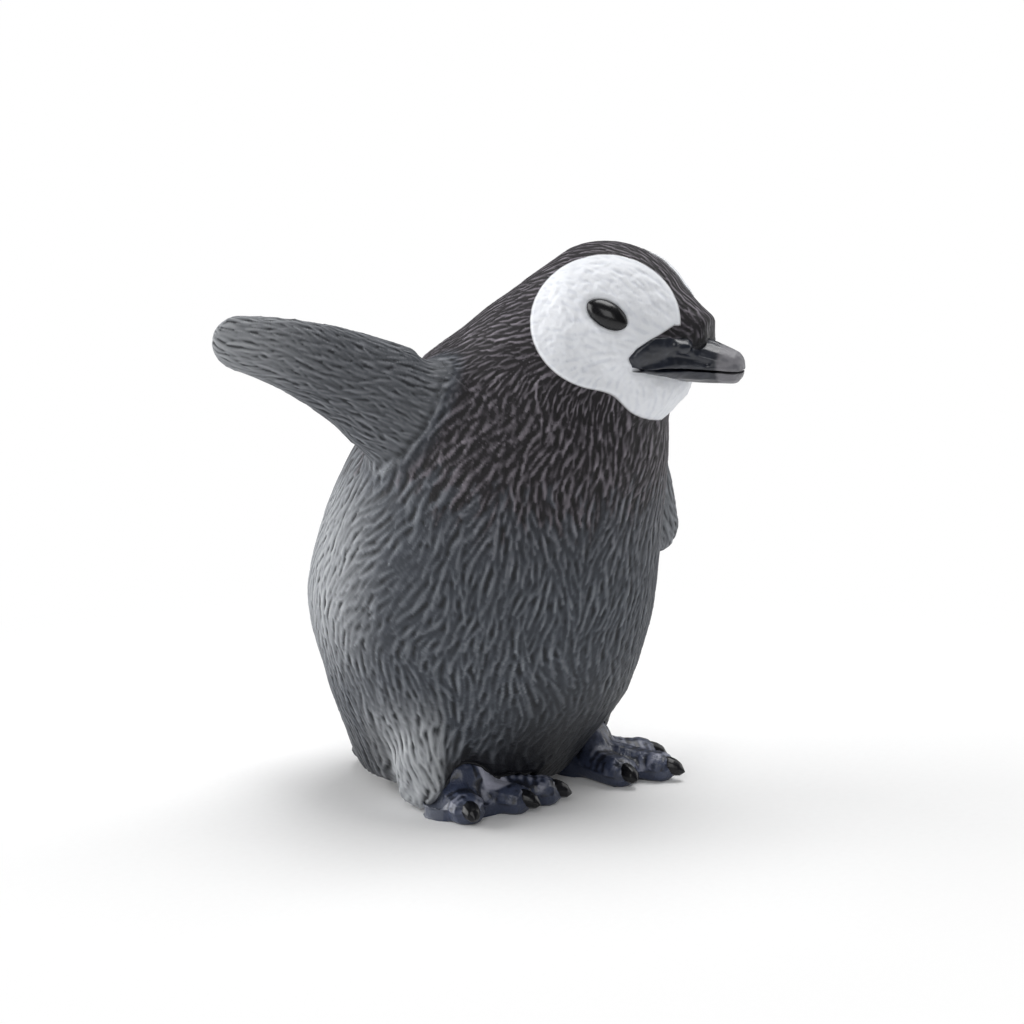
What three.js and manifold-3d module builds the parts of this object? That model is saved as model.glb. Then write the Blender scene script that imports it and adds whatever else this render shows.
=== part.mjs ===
// A penguin chick figurine that stands on two webbed feet, with one flipper raised.
// Torso and head are hollow mouldings. Flippers, feet, beak, eyes, mask and claws plug into them.
// Units are millimetres and degrees. +Z is up, the chick faces -Y and its left side is +X.

import * as THREE from 'three';
import { mergeVertices } from 'three/addons/utils/BufferGeometryUtils.js';
import Module from 'manifold-3d';

const wasm = await Module();
wasm.setup();

// Walls and clearances
const JOINT_GAP = 0.3; // between two mouldings that meet
const WALL = 2.8; // of the hollow torso and head

// Centre of the skull. The neck, its seam and the shoulder joints are measured from it.
const HEAD = { height: 65.9, forward: 19.3, left: 2 };
const HEAD_TURN = 13; // to the chick's left
const NECK_BELOW_HEAD = 5.3;
const NECK_BEHIND_HEAD = 9.35;
const NAPE_ABOVE_HEAD = 1.3;
const NAPE_BEHIND_HEAD = 4.5;
const SEAM_BELOW_HEAD = 7;
const SEAM_BEHIND_HEAD = 7.3;
const SHOULDER_BELOW_HEAD = 11.3;

// Torso and neck: level sections from the rump to the back of the head
const RUMP = { height: 3.8, forward: -2.8, halfWidth: 15.6, halfDepth: 15.4 };
const HIPS = { height: 14, forward: -0.5, halfWidth: 20.6, halfDepth: 21 };
const BELLY = { height: 28, forward: 0, halfWidth: 24, halfDepth: 24.6 };
const BREAST = { height: 40, forward: 2.4, halfWidth: 23, halfDepth: 23.7 };
const SHOULDERS = { height: 50, forward: 5.6, halfWidth: 20.6, halfDepth: 21.8 };
const NECK = {
  height: HEAD.height - NECK_BELOW_HEAD,
  forward: HEAD.forward - NECK_BEHIND_HEAD,
  halfWidth: 16,
  halfDepth: 17.9,
};
const NAPE = {
  height: HEAD.height + NAPE_ABOVE_HEAD,
  forward: HEAD.forward - NAPE_BEHIND_HEAD,
  halfWidth: 12,
  halfDepth: 13.8,
};
const UNDERSIDE_DROP = 3; // how far the rounded underside hangs below the rump section
const UNDERSIDE_FLATNESS = 0.5; // a rounded end closes as the cosine to this power: 1 is an oval
const NAPE_RISE = 4.6; // the rounded end of the neck inside the head

// Feathered legs and tail, parts of the torso moulding
const LEG_BEHIND_ANKLE = 0.6; // from the ankle back to the leg's axis
const LEG_OUTSIDE_ANKLE = 1;
const LEG_TOP = 17;
const LEG_HEM = 0.7; // the hem of the leg's down above the ground, at the back
const LEG_HEM_RISE = 6.6; // how much higher the hem is at the front
const LEG_HEM_ROUND = 0.6;
const LEG_THIGH_RADIUS = 6.2;
const LEG_HEM_RADIUS = 5.4;
const LEG_TOP_RADIUS = 3;
const TAIL = { back: 15, height: 3.4, halfLength: 6.6, halfWidth: 6.4, halfHeight: 2.4 };
const TAIL_DROOP = 12;

// Head, in its own frame: forward is -Y, measured from the centre of the skull
const SKULL = { halfLength: 12.8, halfWidth: 12.2, halfHeight: 12.4 };
const BROW = { forward: 7, down: 0.6, halfLength: 7.6, halfWidth: 8, halfHeight: 6.6 };
const OCCIPUT = { forward: -5, down: 0.4, halfLength: 10.6, halfWidth: 10, halfHeight: 10 };
const JOWL = { forward: 5.6, down: 6, halfLength: 6.4, halfWidth: 8.6, halfHeight: 6 };

// Neck joint: a slanted seam with a hollow spigot
const SEAM = {
  height: HEAD.height - SEAM_BELOW_HEAD,
  forward: HEAD.forward - SEAM_BEHIND_HEAD,
  slope: 19,
};
const SPIGOT_RADIUS = 8;
const SPIGOT_BORE_RADIUS = 5.6;
const SPIGOT_LENGTH = 6;

// White mask, let into the head: two overlapping ovals seen from the side
const CHEEK = { forward: 2.9, up: 1.9, halfLength: 9.3, halfHeight: 8.9 };
const CHIN = { forward: 8.4, down: 7.2, halfLength: 5, halfHeight: 4 };
const STRIPE_HALF_WIDTH = 3.4; // the dark stripe of the hood that runs down to the beak
const MASK_PROUD = 0.25;
const MASK_DEPTH = 1;

// Eyes
const EYE = { forward: 4, up: 4.4, halfLength: 3, halfHeight: 1.8, halfDepth: 1.5 };
const EYE_TILT = 24; // the front corner sits lower
const EYE_SUNK = 0.7; // from the skull's surface in to the middle of the eye

// Beak, along the head's forward direction
const GAPE = { forward: 7.2, down: 3.4, halfWidth: 10, halfHeight: 0.7 };
const BEAK_CHEEK = { forward: 10, down: 3.3, halfWidth: 8, halfHeight: 1.9 };
const BEAK_BASE = { forward: 12.6, down: 3, halfWidth: 4.9, halfHeight: 3.1 };
const BEAK_MIDDLE = { forward: 15.8, down: 3.3, halfWidth: 3.3, halfHeight: 2.8 };
const BEAK_END = { forward: 18.6, down: 3.8, halfWidth: 2.3, halfHeight: 2.2 };
const BEAK_NOSE = 1.3; // the rounded end beyond the last section
const MOUTH = { forward: 13, down: 3.8, slope: 4 };

// Flippers: a paddle along its own X, with its leading edge up
const FLIPPER_LENGTH = 28.6;
const FLIPPER_ROOT = { halfChord: 8.2, halfThickness: 3.8 };
const FLIPPER_ELBOW = { at: 0.3, halfChord: 6.9, halfThickness: 3 };
const FLIPPER_PALM = { at: 0.68, halfChord: 4.9, halfThickness: 2 };
const FLIPPER_END = { at: 0.88, halfChord: 3.9, halfThickness: 1.5 };
const FLIPPER_BEND = 8.5; // how far the tip falls below the line of the root
const FLIPPER_INSET = 9; // how far the root runs into the shoulder before it is trimmed
const SHOULDER_HEIGHT = HEAD.height - SHOULDER_BELOW_HEAD;
// The root sits some degrees behind the middle of the side, and lower than the shoulder line.
// Sweep is backwards, raise is upwards.
const RIGHT_FLIPPER = { behind: 21, lower: -0.6, sweep: 36, raise: 40, twist: -6 };
const LEFT_FLIPPER = { behind: 4, lower: 2, sweep: -9, raise: -40, twist: 4 };
const SHOULDER_PEG_RADIUS = 2.6;
const SHOULDER_PEG_LENGTH = 7;
const SHOULDER_BOSS_WALL = 2;

// Feet: three toes that fan out from the ankle, joined by a web
const RIGHT_ANKLE = { spread: 13, forward: 3.3, toeOut: -1 };
const LEFT_ANKLE = { spread: 12, forward: 6.8, toeOut: 16 };
// A toe fans out by some degrees from the foot's axis. Its length runs from the ankle to its end.
const RIGHT_INNER_TOE = { fan: -38, length: 13.7 };
const RIGHT_MIDDLE_TOE = { fan: -13, length: 10.2 };
const RIGHT_OUTER_TOE = { fan: 38, length: 9.4 };
const LEFT_INNER_TOE = { fan: -30, length: 10.6 };
const LEFT_MIDDLE_TOE = { fan: -2, length: 13.6 };
const LEFT_OUTER_TOE = { fan: 34, length: 10.8 };
const TOE_ROOT = { halfWidth: 3, halfHeight: 2.9, height: 2.6 };
const TOE_TIP = { halfWidth: 2.6, halfHeight: 2.2, height: 1.6 };
const WEB_THICKNESS = 1.7;
const WEB_NOTCH = 0.8; // the web's edge between two toes, as a share of the toe's length
const WEB_BEHIND_ANKLE = 1;
const SOLE_OUTSIDE_ANKLE = 11; // the sole's outer edge is drawn out towards this distance
const INSTEP = { forward: 1.4, height: 3, halfWidth: 4.7, halfLength: 5, halfHeight: 5.6 };
const ANKLE_PEG_RADIUS = 3;
const ANKLE_PEG_TOP = 10.5;

// Claws
const CLAW_LENGTH = 3;
const CLAW_RADIUS = 1.3;
const CLAW_HEIGHT = 2.1;
const CLAW_INSET = 1.5; // the part that sits in the toe

// How finely curves are cut
const SKIN = { around: 28, perSpan: 3 };
const LINING = { around: 18, perSpan: 1 };
const AROUND_HEAD = 24;
const AROUND_LIMB = 16;
const AROUND_SMALL = 10;
const RINGS_PER_SPAN = 2;

// A span longer than the whole figure, for cutters
const REACH = 200;

const RIGHT = -1;
const LEFT = 1;

const radians = THREE.MathUtils.degToRad;

// Solids and geometries

function solid(geometry) {
  const bare = geometry.clone();
  bare.deleteAttribute('normal');
  bare.deleteAttribute('uv');
  const merged = mergeVertices(bare, 1e-4);
  const vertProperties = new Float32Array(merged.attributes.position.array);
  const triVerts = new Uint32Array(merged.index.array);
  return new wasm.Manifold(new wasm.Mesh({ numProp: 3, vertProperties, triVerts }));
}

function geometryOf(manifold) {
  const mesh = manifold.getMesh();
  const geometry = new THREE.BufferGeometry();
  geometry.setAttribute('position', new THREE.BufferAttribute(mesh.vertProperties, 3));
  geometry.setIndex(new THREE.BufferAttribute(mesh.triVerts, 1));
  const flat = geometry.toNonIndexed();
  flat.computeVertexNormals();
  return flat;
}

// The solid as seen from the frame that holds the group.
function outOf(group, manifold) {
  return solid(geometryOf(manifold).applyMatrix4(group.matrix));
}

// The solid as seen from inside the group.
function into(group, manifold) {
  return solid(geometryOf(manifold).applyMatrix4(group.matrix.clone().invert()));
}

// A closed skin over rings of points, with a single point at either end.
function skin(start, rings, end) {
  const around = rings[0].length;
  const points = [start, ...rings.flat(), end];
  const last = points.length - 1;
  const index = [];
  const at = (ring, step) => 1 + ring * around + (step % around);
  for (let step = 0; step < around; step += 1) {
    index.push(0, at(0, step + 1), at(0, step));
    index.push(last, at(rings.length - 1, step), at(rings.length - 1, step + 1));
    for (let ring = 0; ring + 1 < rings.length; ring += 1) {
      const a = at(ring, step);
      const b = at(ring, step + 1);
      const c = at(ring + 1, step + 1);
      const d = at(ring + 1, step);
      index.push(a, b, c, a, c, d);
    }
  }
  const geometry = new THREE.BufferGeometry().setFromPoints(points);
  geometry.setIndex(index);
  return solid(geometry);
}

// An oval ring of points about a centre, from the first axis towards the second.
function oval(centre, first, second, around) {
  const ring = [];
  for (let step = 0; step < around; step += 1) {
    const angle = (step / around) * 2 * Math.PI;
    const point = centre.clone();
    point.addScaledVector(first, Math.cos(angle));
    point.addScaledVector(second, Math.sin(angle));
    ring.push(point);
  }
  return ring;
}

function ellipsoid(halfX, halfY, halfZ, around) {
  const geometry = new THREE.SphereGeometry(1, around, Math.round(around * 0.6));
  geometry.rotateX(Math.PI / 2);
  return geometry.scale(halfX, halfY, halfZ);
}

// A round bar along X between two distances.
function barAlongX(from, to, radius, around) {
  const geometry = new THREE.CylinderGeometry(radius, radius, to - from, around);
  geometry.rotateZ(-Math.PI / 2);
  return geometry.translate((from + to) / 2, 0, 0);
}

// Torso and neck form

const SECTIONS = [RUMP, HIPS, BELLY, BREAST, SHOULDERS, NECK, NAPE];
const spine = new THREE.CatmullRomCurve3(
  SECTIONS.map((section) => new THREE.Vector3(0, -section.forward, section.height)),
);
const girth = new THREE.CatmullRomCurve3(
  SECTIONS.map((section) => new THREE.Vector3(section.halfWidth, section.halfDepth, 0)),
);

function level(place, halfWidth, halfDepth, around) {
  const first = new THREE.Vector3(halfWidth, 0, 0);
  const second = new THREE.Vector3(0, halfDepth, 0);
  return oval(place, first, second, around);
}

// The body grown outwards by some millimetres, or shrunk by a negative number.
function bodyForm(grow, cut) {
  const below = -(UNDERSIDE_DROP + grow);
  const above = NAPE_RISE + grow;
  const rings = [];
  // A ring of a rounded end, at a share of a quarter turn from the section to the pole.
  const domeRing = (section, rise, flatness, share) => {
    const turn = share * (Math.PI / 2);
    const place = new THREE.Vector3(0, -section.forward, section.height + rise * Math.sin(turn));
    const closing = Math.cos(turn) ** flatness;
    const halfWidth = (section.halfWidth + grow) * closing;
    rings.push(level(place, halfWidth, (section.halfDepth + grow) * closing, cut.around));
  };
  for (let step = cut.perSpan; step > 0; step -= 1) {
    domeRing(RUMP, below, UNDERSIDE_FLATNESS, step / (cut.perSpan + 0.2));
  }
  const spans = (SECTIONS.length - 1) * cut.perSpan;
  for (let step = 0; step <= spans; step += 1) {
    const size = girth.getPoint(step / spans);
    const place = spine.getPoint(step / spans);
    rings.push(level(place, size.x + grow, size.y + grow, cut.around));
  }
  for (let step = 1; step < cut.perSpan; step += 1) {
    domeRing(NAPE, above, 1, step / cut.perSpan);
  }
  const bottom = new THREE.Vector3(0, -RUMP.forward, RUMP.height + below);
  const top = new THREE.Vector3(0, -NAPE.forward, NAPE.height + above);
  return skin(bottom, rings, top);
}

// Where along the spine the body has a given height, by halving.
function spineShareAt(height) {
  let low = 0;
  let high = 1;
  for (let step = 0; step < 30; step += 1) {
    const middle = (low + high) / 2;
    if (spine.getPoint(middle).z < height) low = middle;
    else high = middle;
  }
  return (low + high) / 2;
}

function legForm(side, ankle) {
  const axis = (height) => {
    const out = ankle.spread + LEG_OUTSIDE_ANKLE;
    return new THREE.Vector3(side * out, LEG_BEHIND_ANKLE - ankle.forward, height);
  };
  const stations = [
    { height: LEG_HEM, radius: LEG_HEM_RADIUS - LEG_HEM_ROUND },
    { height: LEG_HEM + LEG_HEM_ROUND, radius: LEG_HEM_RADIUS },
    { height: 0.35 * LEG_TOP, radius: LEG_THIGH_RADIUS },
    { height: 0.65 * LEG_TOP, radius: (LEG_THIGH_RADIUS + LEG_HEM_RADIUS) / 2 },
    { height: LEG_TOP, radius: LEG_TOP_RADIUS },
  ];
  // The lower a ring is, the more its front is lifted.
  const rings = stations.map(({ height, radius }) => {
    const lift = (LEG_HEM_RISE * (LEG_TOP - height)) / (LEG_TOP - LEG_HEM);
    const ring = level(axis(height), radius, radius, AROUND_LIMB);
    ring.forEach((point) => {
      const toFront = (1 - (point.y - axis(height).y) / radius) / 2;
      point.z += lift * toFront * toFront;
    });
    return ring;
  });
  return skin(axis(LEG_HEM + LEG_HEM_RISE / 4), rings, axis(LEG_TOP));
}

function tailForm() {
  const geometry = ellipsoid(TAIL.halfWidth, TAIL.halfLength, TAIL.halfHeight, AROUND_LIMB);
  geometry.rotateX(radians(-TAIL_DROOP));
  return solid(geometry.translate(0, TAIL.back, TAIL.height));
}

// Neck seam: everything above a slanted plane, raised along the plane's normal

function seamFrame() {
  const frame = new THREE.Group();
  frame.position.set(0, -SEAM.forward, SEAM.height);
  frame.rotation.x = radians(SEAM.slope);
  frame.updateMatrix();
  return frame;
}
const seam = seamFrame();

function aboveSeam(raise) {
  const box = new THREE.BoxGeometry(REACH, REACH, REACH);
  box.translate(0, 0, REACH / 2 + raise);
  return solid(box.applyMatrix4(seam.matrix));
}

function belowSeam(raise) {
  const box = new THREE.BoxGeometry(REACH, REACH, REACH);
  box.translate(0, 0, -REACH / 2 + raise);
  return solid(box.applyMatrix4(seam.matrix));
}

function alongSeamNormal(from, to, radius) {
  const bar = new THREE.CylinderGeometry(radius, radius, to - from, AROUND_HEAD);
  bar.rotateX(Math.PI / 2);
  bar.translate(0, 0, (from + to) / 2);
  return solid(bar.applyMatrix4(seam.matrix));
}

// Groups that carry the head, the flippers and the feet

const headGroup = new THREE.Group();
headGroup.position.set(HEAD.left, -HEAD.forward, HEAD.height);
headGroup.rotation.z = radians(HEAD_TURN);
headGroup.updateMatrix();

function shoulderGroup(side, pose) {
  const share = spineShareAt(SHOULDER_HEIGHT - pose.lower);
  const size = girth.getPoint(share);
  const point = spine.getPoint(share);
  const behind = radians(pose.behind);
  point.x += side * size.x * Math.cos(behind);
  point.y += size.y * Math.sin(behind);
  const heading = side === LEFT ? pose.sweep : 180 - pose.sweep;
  const group = new THREE.Group();
  group.position.copy(point);
  group.rotation.order = 'ZYX';
  group.rotation.set(radians(pose.twist), radians(-pose.raise), radians(heading));
  group.updateMatrix();
  return group;
}
const rightFlipperGroup = shoulderGroup(RIGHT, RIGHT_FLIPPER);
const leftFlipperGroup = shoulderGroup(LEFT, LEFT_FLIPPER);

function ankleGroup(side, ankle) {
  const group = new THREE.Group();
  group.position.set(side * ankle.spread, -ankle.forward, 0);
  group.rotation.z = radians(side * ankle.toeOut);
  group.updateMatrix();
  return group;
}
const rightFootGroup = ankleGroup(RIGHT, RIGHT_ANKLE);
const leftFootGroup = ankleGroup(LEFT, LEFT_ANKLE);

// Flippers

function flipperForm(grow) {
  const stations = [FLIPPER_ROOT, FLIPPER_ROOT, FLIPPER_ELBOW, FLIPPER_PALM, FLIPPER_END];
  const shares = [-FLIPPER_INSET / FLIPPER_LENGTH, 0];
  shares.push(FLIPPER_ELBOW.at, FLIPPER_PALM.at, FLIPPER_END.at);
  const outline = new THREE.CatmullRomCurve3(
    stations.map((s, i) => new THREE.Vector3(shares[i], s.halfChord, s.halfThickness)),
  );
  const centreAt = (share) => {
    const fall = share > 0 ? FLIPPER_BEND * share * share : 0;
    return new THREE.Vector3(share * FLIPPER_LENGTH, 0, -fall);
  };
  const ringAt = (share, halfChord, halfThickness) => {
    const slope = share > 0 ? (-2 * FLIPPER_BEND * share) / FLIPPER_LENGTH : 0;
    const chord = new THREE.Vector3(-slope, 0, 1).normalize();
    const first = new THREE.Vector3(0, halfThickness, 0);
    const second = chord.multiplyScalar(halfChord);
    return oval(centreAt(share), first, second, AROUND_LIMB);
  };
  const rings = [];
  const spans = (stations.length - 1) * RINGS_PER_SPAN;
  for (let step = 0; step <= spans; step += 1) {
    const at = outline.getPoint(step / spans);
    rings.push(ringAt(at.x, at.y + grow, at.z + grow));
  }
  const roundShare = 1 - FLIPPER_END.at + grow / FLIPPER_LENGTH;
  for (let step = 1; step < 5; step += 1) {
    const turn = (step / 5) * (Math.PI / 2);
    const share = FLIPPER_END.at + roundShare * Math.sin(turn);
    const chord = (FLIPPER_END.halfChord + grow) * Math.cos(turn);
    const thickness = (FLIPPER_END.halfThickness + grow) * Math.cos(turn);
    rings.push(ringAt(share, chord, thickness));
  }
  return skin(centreAt(shares[0]), rings, centreAt(FLIPPER_END.at + roundShare));
}

function shoulderPeg(grow) {
  const inner = -SHOULDER_PEG_LENGTH - grow;
  const outer = FLIPPER_LENGTH * FLIPPER_ELBOW.at;
  return solid(barAlongX(inner, outer, SHOULDER_PEG_RADIUS + grow, AROUND_SMALL));
}

function shoulderBoss() {
  const inner = -SHOULDER_PEG_LENGTH - JOINT_GAP - SHOULDER_BOSS_WALL;
  const radius = SHOULDER_PEG_RADIUS + JOINT_GAP + SHOULDER_BOSS_WALL;
  return solid(barAlongX(inner, FLIPPER_LENGTH, radius, AROUND_SMALL));
}

function flipper(group) {
  const body = into(group, bodyForm(JOINT_GAP, SKIN));
  const skull = into(group, outOf(headGroup, skullForm(JOINT_GAP)));
  const paddle = flipperForm(0).subtract(body).subtract(skull);
  const peg = shoulderPeg(0).intersect(flipperForm(0));
  return paddle.add(peg);
}

// Feet and claws

const TOES = {
  [RIGHT]: [
    { name: 'inner', ...RIGHT_INNER_TOE },
    { name: 'middle', ...RIGHT_MIDDLE_TOE },
    { name: 'outer', ...RIGHT_OUTER_TOE },
  ],
  [LEFT]: [
    { name: 'inner', ...LEFT_INNER_TOE },
    { name: 'middle', ...LEFT_MIDDLE_TOE },
    { name: 'outer', ...LEFT_OUTER_TOE },
  ],
};

function toeDirection(side, toe) {
  const angle = radians(toe.fan);
  return new THREE.Vector3(side * Math.sin(angle), -Math.cos(angle), 0);
}

function toeForm(side, toe, grow) {
  const along = toeDirection(side, toe);
  const across = new THREE.Vector3(-along.y, along.x, 0);
  const up = new THREE.Vector3(0, 0, 1);
  const ringAt = (distance, share, scale) => {
    const width = THREE.MathUtils.lerp(TOE_ROOT.halfWidth, TOE_TIP.halfWidth, share) + grow;
    const tall = THREE.MathUtils.lerp(TOE_ROOT.halfHeight, TOE_TIP.halfHeight, share) + grow;
    const height = THREE.MathUtils.lerp(TOE_ROOT.height, TOE_TIP.height, share);
    const centre = along.clone().multiplyScalar(distance).addScaledVector(up, height);
    const first = across.clone().multiplyScalar(width * scale);
    const second = up.clone().multiplyScalar(tall * scale);
    return oval(centre, first, second, AROUND_SMALL);
  };
  const rings = [];
  for (let step = 0; step <= RINGS_PER_SPAN; step += 1) {
    const share = step / RINGS_PER_SPAN;
    rings.push(ringAt(toe.length * share, share, 1));
  }
  const nose = TOE_TIP.halfHeight + grow;
  for (let step = 1; step <= RINGS_PER_SPAN; step += 1) {
    const turn = (step / (RINGS_PER_SPAN + 1)) * (Math.PI / 2);
    rings.push(ringAt(toe.length + nose * Math.sin(turn), 1, Math.cos(turn)));
  }
  const start = new THREE.Vector3(0, 0, TOE_ROOT.height);
  const end = along.clone().multiplyScalar(toe.length + nose);
  end.z = TOE_TIP.height;
  return skin(start, rings, end);
}

// The web and the sole: a fan with a scalloped front edge.
function webForm(side, grow) {
  const reach = (toe) => toeDirection(side, toe).multiplyScalar(toe.length + grow);
  const notch = (a, b) => {
    const middle = toeDirection(side, a).add(toeDirection(side, b)).normalize();
    return middle.multiplyScalar(Math.min(a.length, b.length) * WEB_NOTCH + grow);
  };
  const shape = new THREE.Shape();
  const heel = new THREE.Vector3(0, grow + WEB_BEHIND_ANKLE, 0);
  shape.moveTo(heel.x, heel.y);
  TOES[side].forEach((toe, i) => {
    const tip = reach(toe);
    if (i === 0) {
      shape.lineTo(tip.x, tip.y);
      return;
    }
    const dip = notch(TOES[side][i - 1], toe);
    shape.quadraticCurveTo(dip.x, dip.y, tip.x, tip.y);
  });
  shape.quadraticCurveTo(side * (SOLE_OUTSIDE_ANKLE + grow), heel.y, heel.x, heel.y);
  const settings = { depth: WEB_THICKNESS + grow, bevelEnabled: false, curveSegments: 8 };
  return solid(new THREE.ExtrudeGeometry(shape, settings));
}

function anklePeg(grow) {
  const height = ANKLE_PEG_TOP + grow - TOE_ROOT.height;
  const radius = ANKLE_PEG_RADIUS + grow;
  const bar = new THREE.CylinderGeometry(radius, radius, height, AROUND_SMALL);
  bar.rotateX(Math.PI / 2);
  return solid(bar.translate(0, 0, TOE_ROOT.height + height / 2));
}

function footForm(side, grow) {
  const instep = ellipsoid(
    INSTEP.halfWidth + grow,
    INSTEP.halfLength + grow,
    INSTEP.halfHeight + grow,
    AROUND_LIMB,
  );
  let form = solid(instep.translate(0, -INSTEP.forward, INSTEP.height));
  TOES[side].forEach((toe) => {
    form = form.add(toeForm(side, toe, grow));
  });
  return form.add(webForm(side, grow)).add(anklePeg(grow));
}

function aboveGround() {
  return solid(new THREE.BoxGeometry(REACH, REACH, REACH).translate(0, 0, REACH / 2));
}

function clawForm(side, toe, grow) {
  const rings = [];
  const along = toeDirection(side, toe);
  const across = new THREE.Vector3(-along.y, along.x, 0);
  const up = new THREE.Vector3(0, 0, 1);
  const start = toe.length + TOE_TIP.halfHeight - CLAW_INSET - grow;
  const length = CLAW_LENGTH + 2 * grow;
  const placeAt = (share) => {
    const place = along.clone().multiplyScalar(start + length * share);
    place.z = CLAW_HEIGHT - 0.35 * CLAW_HEIGHT * share * share;
    return place;
  };
  for (let step = 0; step <= 3; step += 1) {
    const share = step / 4;
    const radius = CLAW_RADIUS * Math.sqrt(1 - share * share) + grow;
    const first = across.clone().multiplyScalar(radius);
    const second = up.clone().multiplyScalar(radius);
    rings.push(oval(placeAt(share), first, second, AROUND_SMALL));
  }
  return skin(placeAt(0), rings, placeAt(1));
}

function foot(side) {
  let form = footForm(side, 0).intersect(aboveGround());
  TOES[side].forEach((toe) => {
    form = form.subtract(clawForm(side, toe, JOINT_GAP));
  });
  return form;
}

// Head, mask, eyes and beak, in the head's own frame

function skullForm(grow) {
  const skull = ellipsoid(
    SKULL.halfWidth + grow,
    SKULL.halfLength + grow,
    SKULL.halfHeight + grow,
    AROUND_HEAD,
  );
  let form = solid(skull);
  [BROW, JOWL, OCCIPUT].forEach(({ forward, down, halfLength, halfWidth, halfHeight }) => {
    const lump = ellipsoid(halfWidth + grow, halfLength + grow, halfHeight + grow, AROUND_LIMB);
    form = form.add(solid(lump.translate(0, -forward, -down)));
  });
  return form;
}

function hoodForm(grow) {
  return skullForm(grow).add(into(headGroup, bodyForm(grow, SKIN)));
}

function sideOval(patch, up, grow) {
  const bar = barAlongX(-REACH / 2, REACH / 2, 1, AROUND_HEAD);
  bar.scale(1, patch.halfLength + grow, patch.halfHeight + grow);
  return solid(bar.translate(0, -patch.forward, up));
}

function maskZone(grow) {
  const stripe = new THREE.BoxGeometry(2 * (STRIPE_HALF_WIDTH - grow), REACH, REACH);
  stripe.translate(0, 0, REACH / 2 - BEAK_BASE.down);
  const cheeks = sideOval(CHEEK, CHEEK.up, grow).subtract(solid(stripe));
  return cheeks.add(sideOval(CHIN, -CHIN.down, grow));
}

function eyeForm(side, grow) {
  const eye = ellipsoid(
    EYE.halfDepth + grow,
    EYE.halfLength + grow,
    EYE.halfHeight + grow,
    AROUND_SMALL,
  );
  eye.rotateX(radians(EYE_TILT));
  const alongShare = EYE.forward / SKULL.halfLength;
  const upShare = EYE.up / SKULL.halfHeight;
  const out = SKULL.halfWidth * Math.sqrt(1 - alongShare * alongShare - upShare * upShare);
  const outward = new THREE.Vector3(
    out / SKULL.halfWidth ** 2,
    -EYE.forward / SKULL.halfLength ** 2,
    EYE.up / SKULL.halfHeight ** 2,
  ).normalize();
  const face = new THREE.Quaternion();
  face.setFromUnitVectors(new THREE.Vector3(1, 0, 0), outward);
  eye.applyQuaternion(face);
  eye.translate(out, -EYE.forward, EYE.up);
  eye.translate(-EYE_SUNK * outward.x, -EYE_SUNK * outward.y, -EYE_SUNK * outward.z);
  if (side === LEFT) return solid(eye);
  return solid(eye).mirror([1, 0, 0]);
}

function beakForm(grow) {
  const stations = [GAPE, BEAK_CHEEK, BEAK_BASE, BEAK_MIDDLE, BEAK_END];
  const line = new THREE.CatmullRomCurve3(
    stations.map((s) => new THREE.Vector3(0, -s.forward, -s.down)),
  );
  const size = new THREE.CatmullRomCurve3(
    stations.map((s) => new THREE.Vector3(s.halfWidth, s.halfHeight, 0)),
  );
  const rings = [];
  const ringAt = (centre, halfWidth, halfHeight) => {
    const first = new THREE.Vector3(halfWidth, 0, 0);
    const second = new THREE.Vector3(0, 0, halfHeight);
    rings.push(oval(centre, first, second, AROUND_LIMB));
  };
  const spans = (stations.length - 1) * RINGS_PER_SPAN;
  for (let step = 0; step <= spans; step += 1) {
    const half = size.getPoint(step / spans);
    ringAt(line.getPoint(step / spans), half.x + grow, half.y + grow);
  }
  const nose = BEAK_NOSE + grow;
  for (let step = 1; step < 4; step += 1) {
    const turn = (step / 4) * (Math.PI / 2);
    const centre = new THREE.Vector3(0, -BEAK_END.forward - nose * Math.sin(turn), -BEAK_END.down);
    const narrow = Math.cos(turn);
    const halfWidth = (BEAK_END.halfWidth + grow) * narrow;
    ringAt(centre, halfWidth, (BEAK_END.halfHeight + grow) * narrow);
  }
  const start = new THREE.Vector3(0, -GAPE.forward + grow, -GAPE.down);
  const end = new THREE.Vector3(0, -BEAK_END.forward - nose, -BEAK_END.down);
  return skin(start, rings, end);
}

// The half of a space above or below the mouth line.
function mouthHalf(upward) {
  const box = new THREE.BoxGeometry(REACH, REACH, REACH);
  box.translate(0, 0, upward * (REACH / 2 + JOINT_GAP / 2));
  box.rotateX(radians(MOUTH.slope));
  return solid(box.translate(0, -MOUTH.forward, -MOUTH.down));
}

function head() {
  const spigot = into(headGroup, alongSeamNormal(-SPIGOT_LENGTH, WALL, SPIGOT_RADIUS));
  const bore = into(headGroup, alongSeamNormal(-2 * SPIGOT_LENGTH, 2 * WALL, SPIGOT_BORE_RADIUS));
  const outside = hoodForm(0).intersect(into(headGroup, aboveSeam(JOINT_GAP / 2)));
  const lining = skullForm(-WALL).add(into(headGroup, bodyForm(-WALL, LINING)));
  const hollow = lining.intersect(into(headGroup, aboveSeam(WALL)));
  const pocket = maskZone(JOINT_GAP).subtract(hoodForm(-MASK_DEPTH - JOINT_GAP));
  return outside
    .add(spigot)
    .subtract(hollow)
    .subtract(bore)
    .subtract(pocket)
    .subtract(eyeForm(RIGHT, JOINT_GAP))
    .subtract(eyeForm(LEFT, JOINT_GAP))
    .subtract(beakForm(JOINT_GAP));
}

function faceMask() {
  const layer = hoodForm(MASK_PROUD).subtract(hoodForm(-MASK_DEPTH));
  return layer
    .intersect(maskZone(0))
    .intersect(into(headGroup, aboveSeam(JOINT_GAP)))
    .subtract(eyeForm(RIGHT, JOINT_GAP))
    .subtract(eyeForm(LEFT, JOINT_GAP))
    .subtract(beakForm(JOINT_GAP));
}

// Torso, with everything that plugs into it taken out

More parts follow.
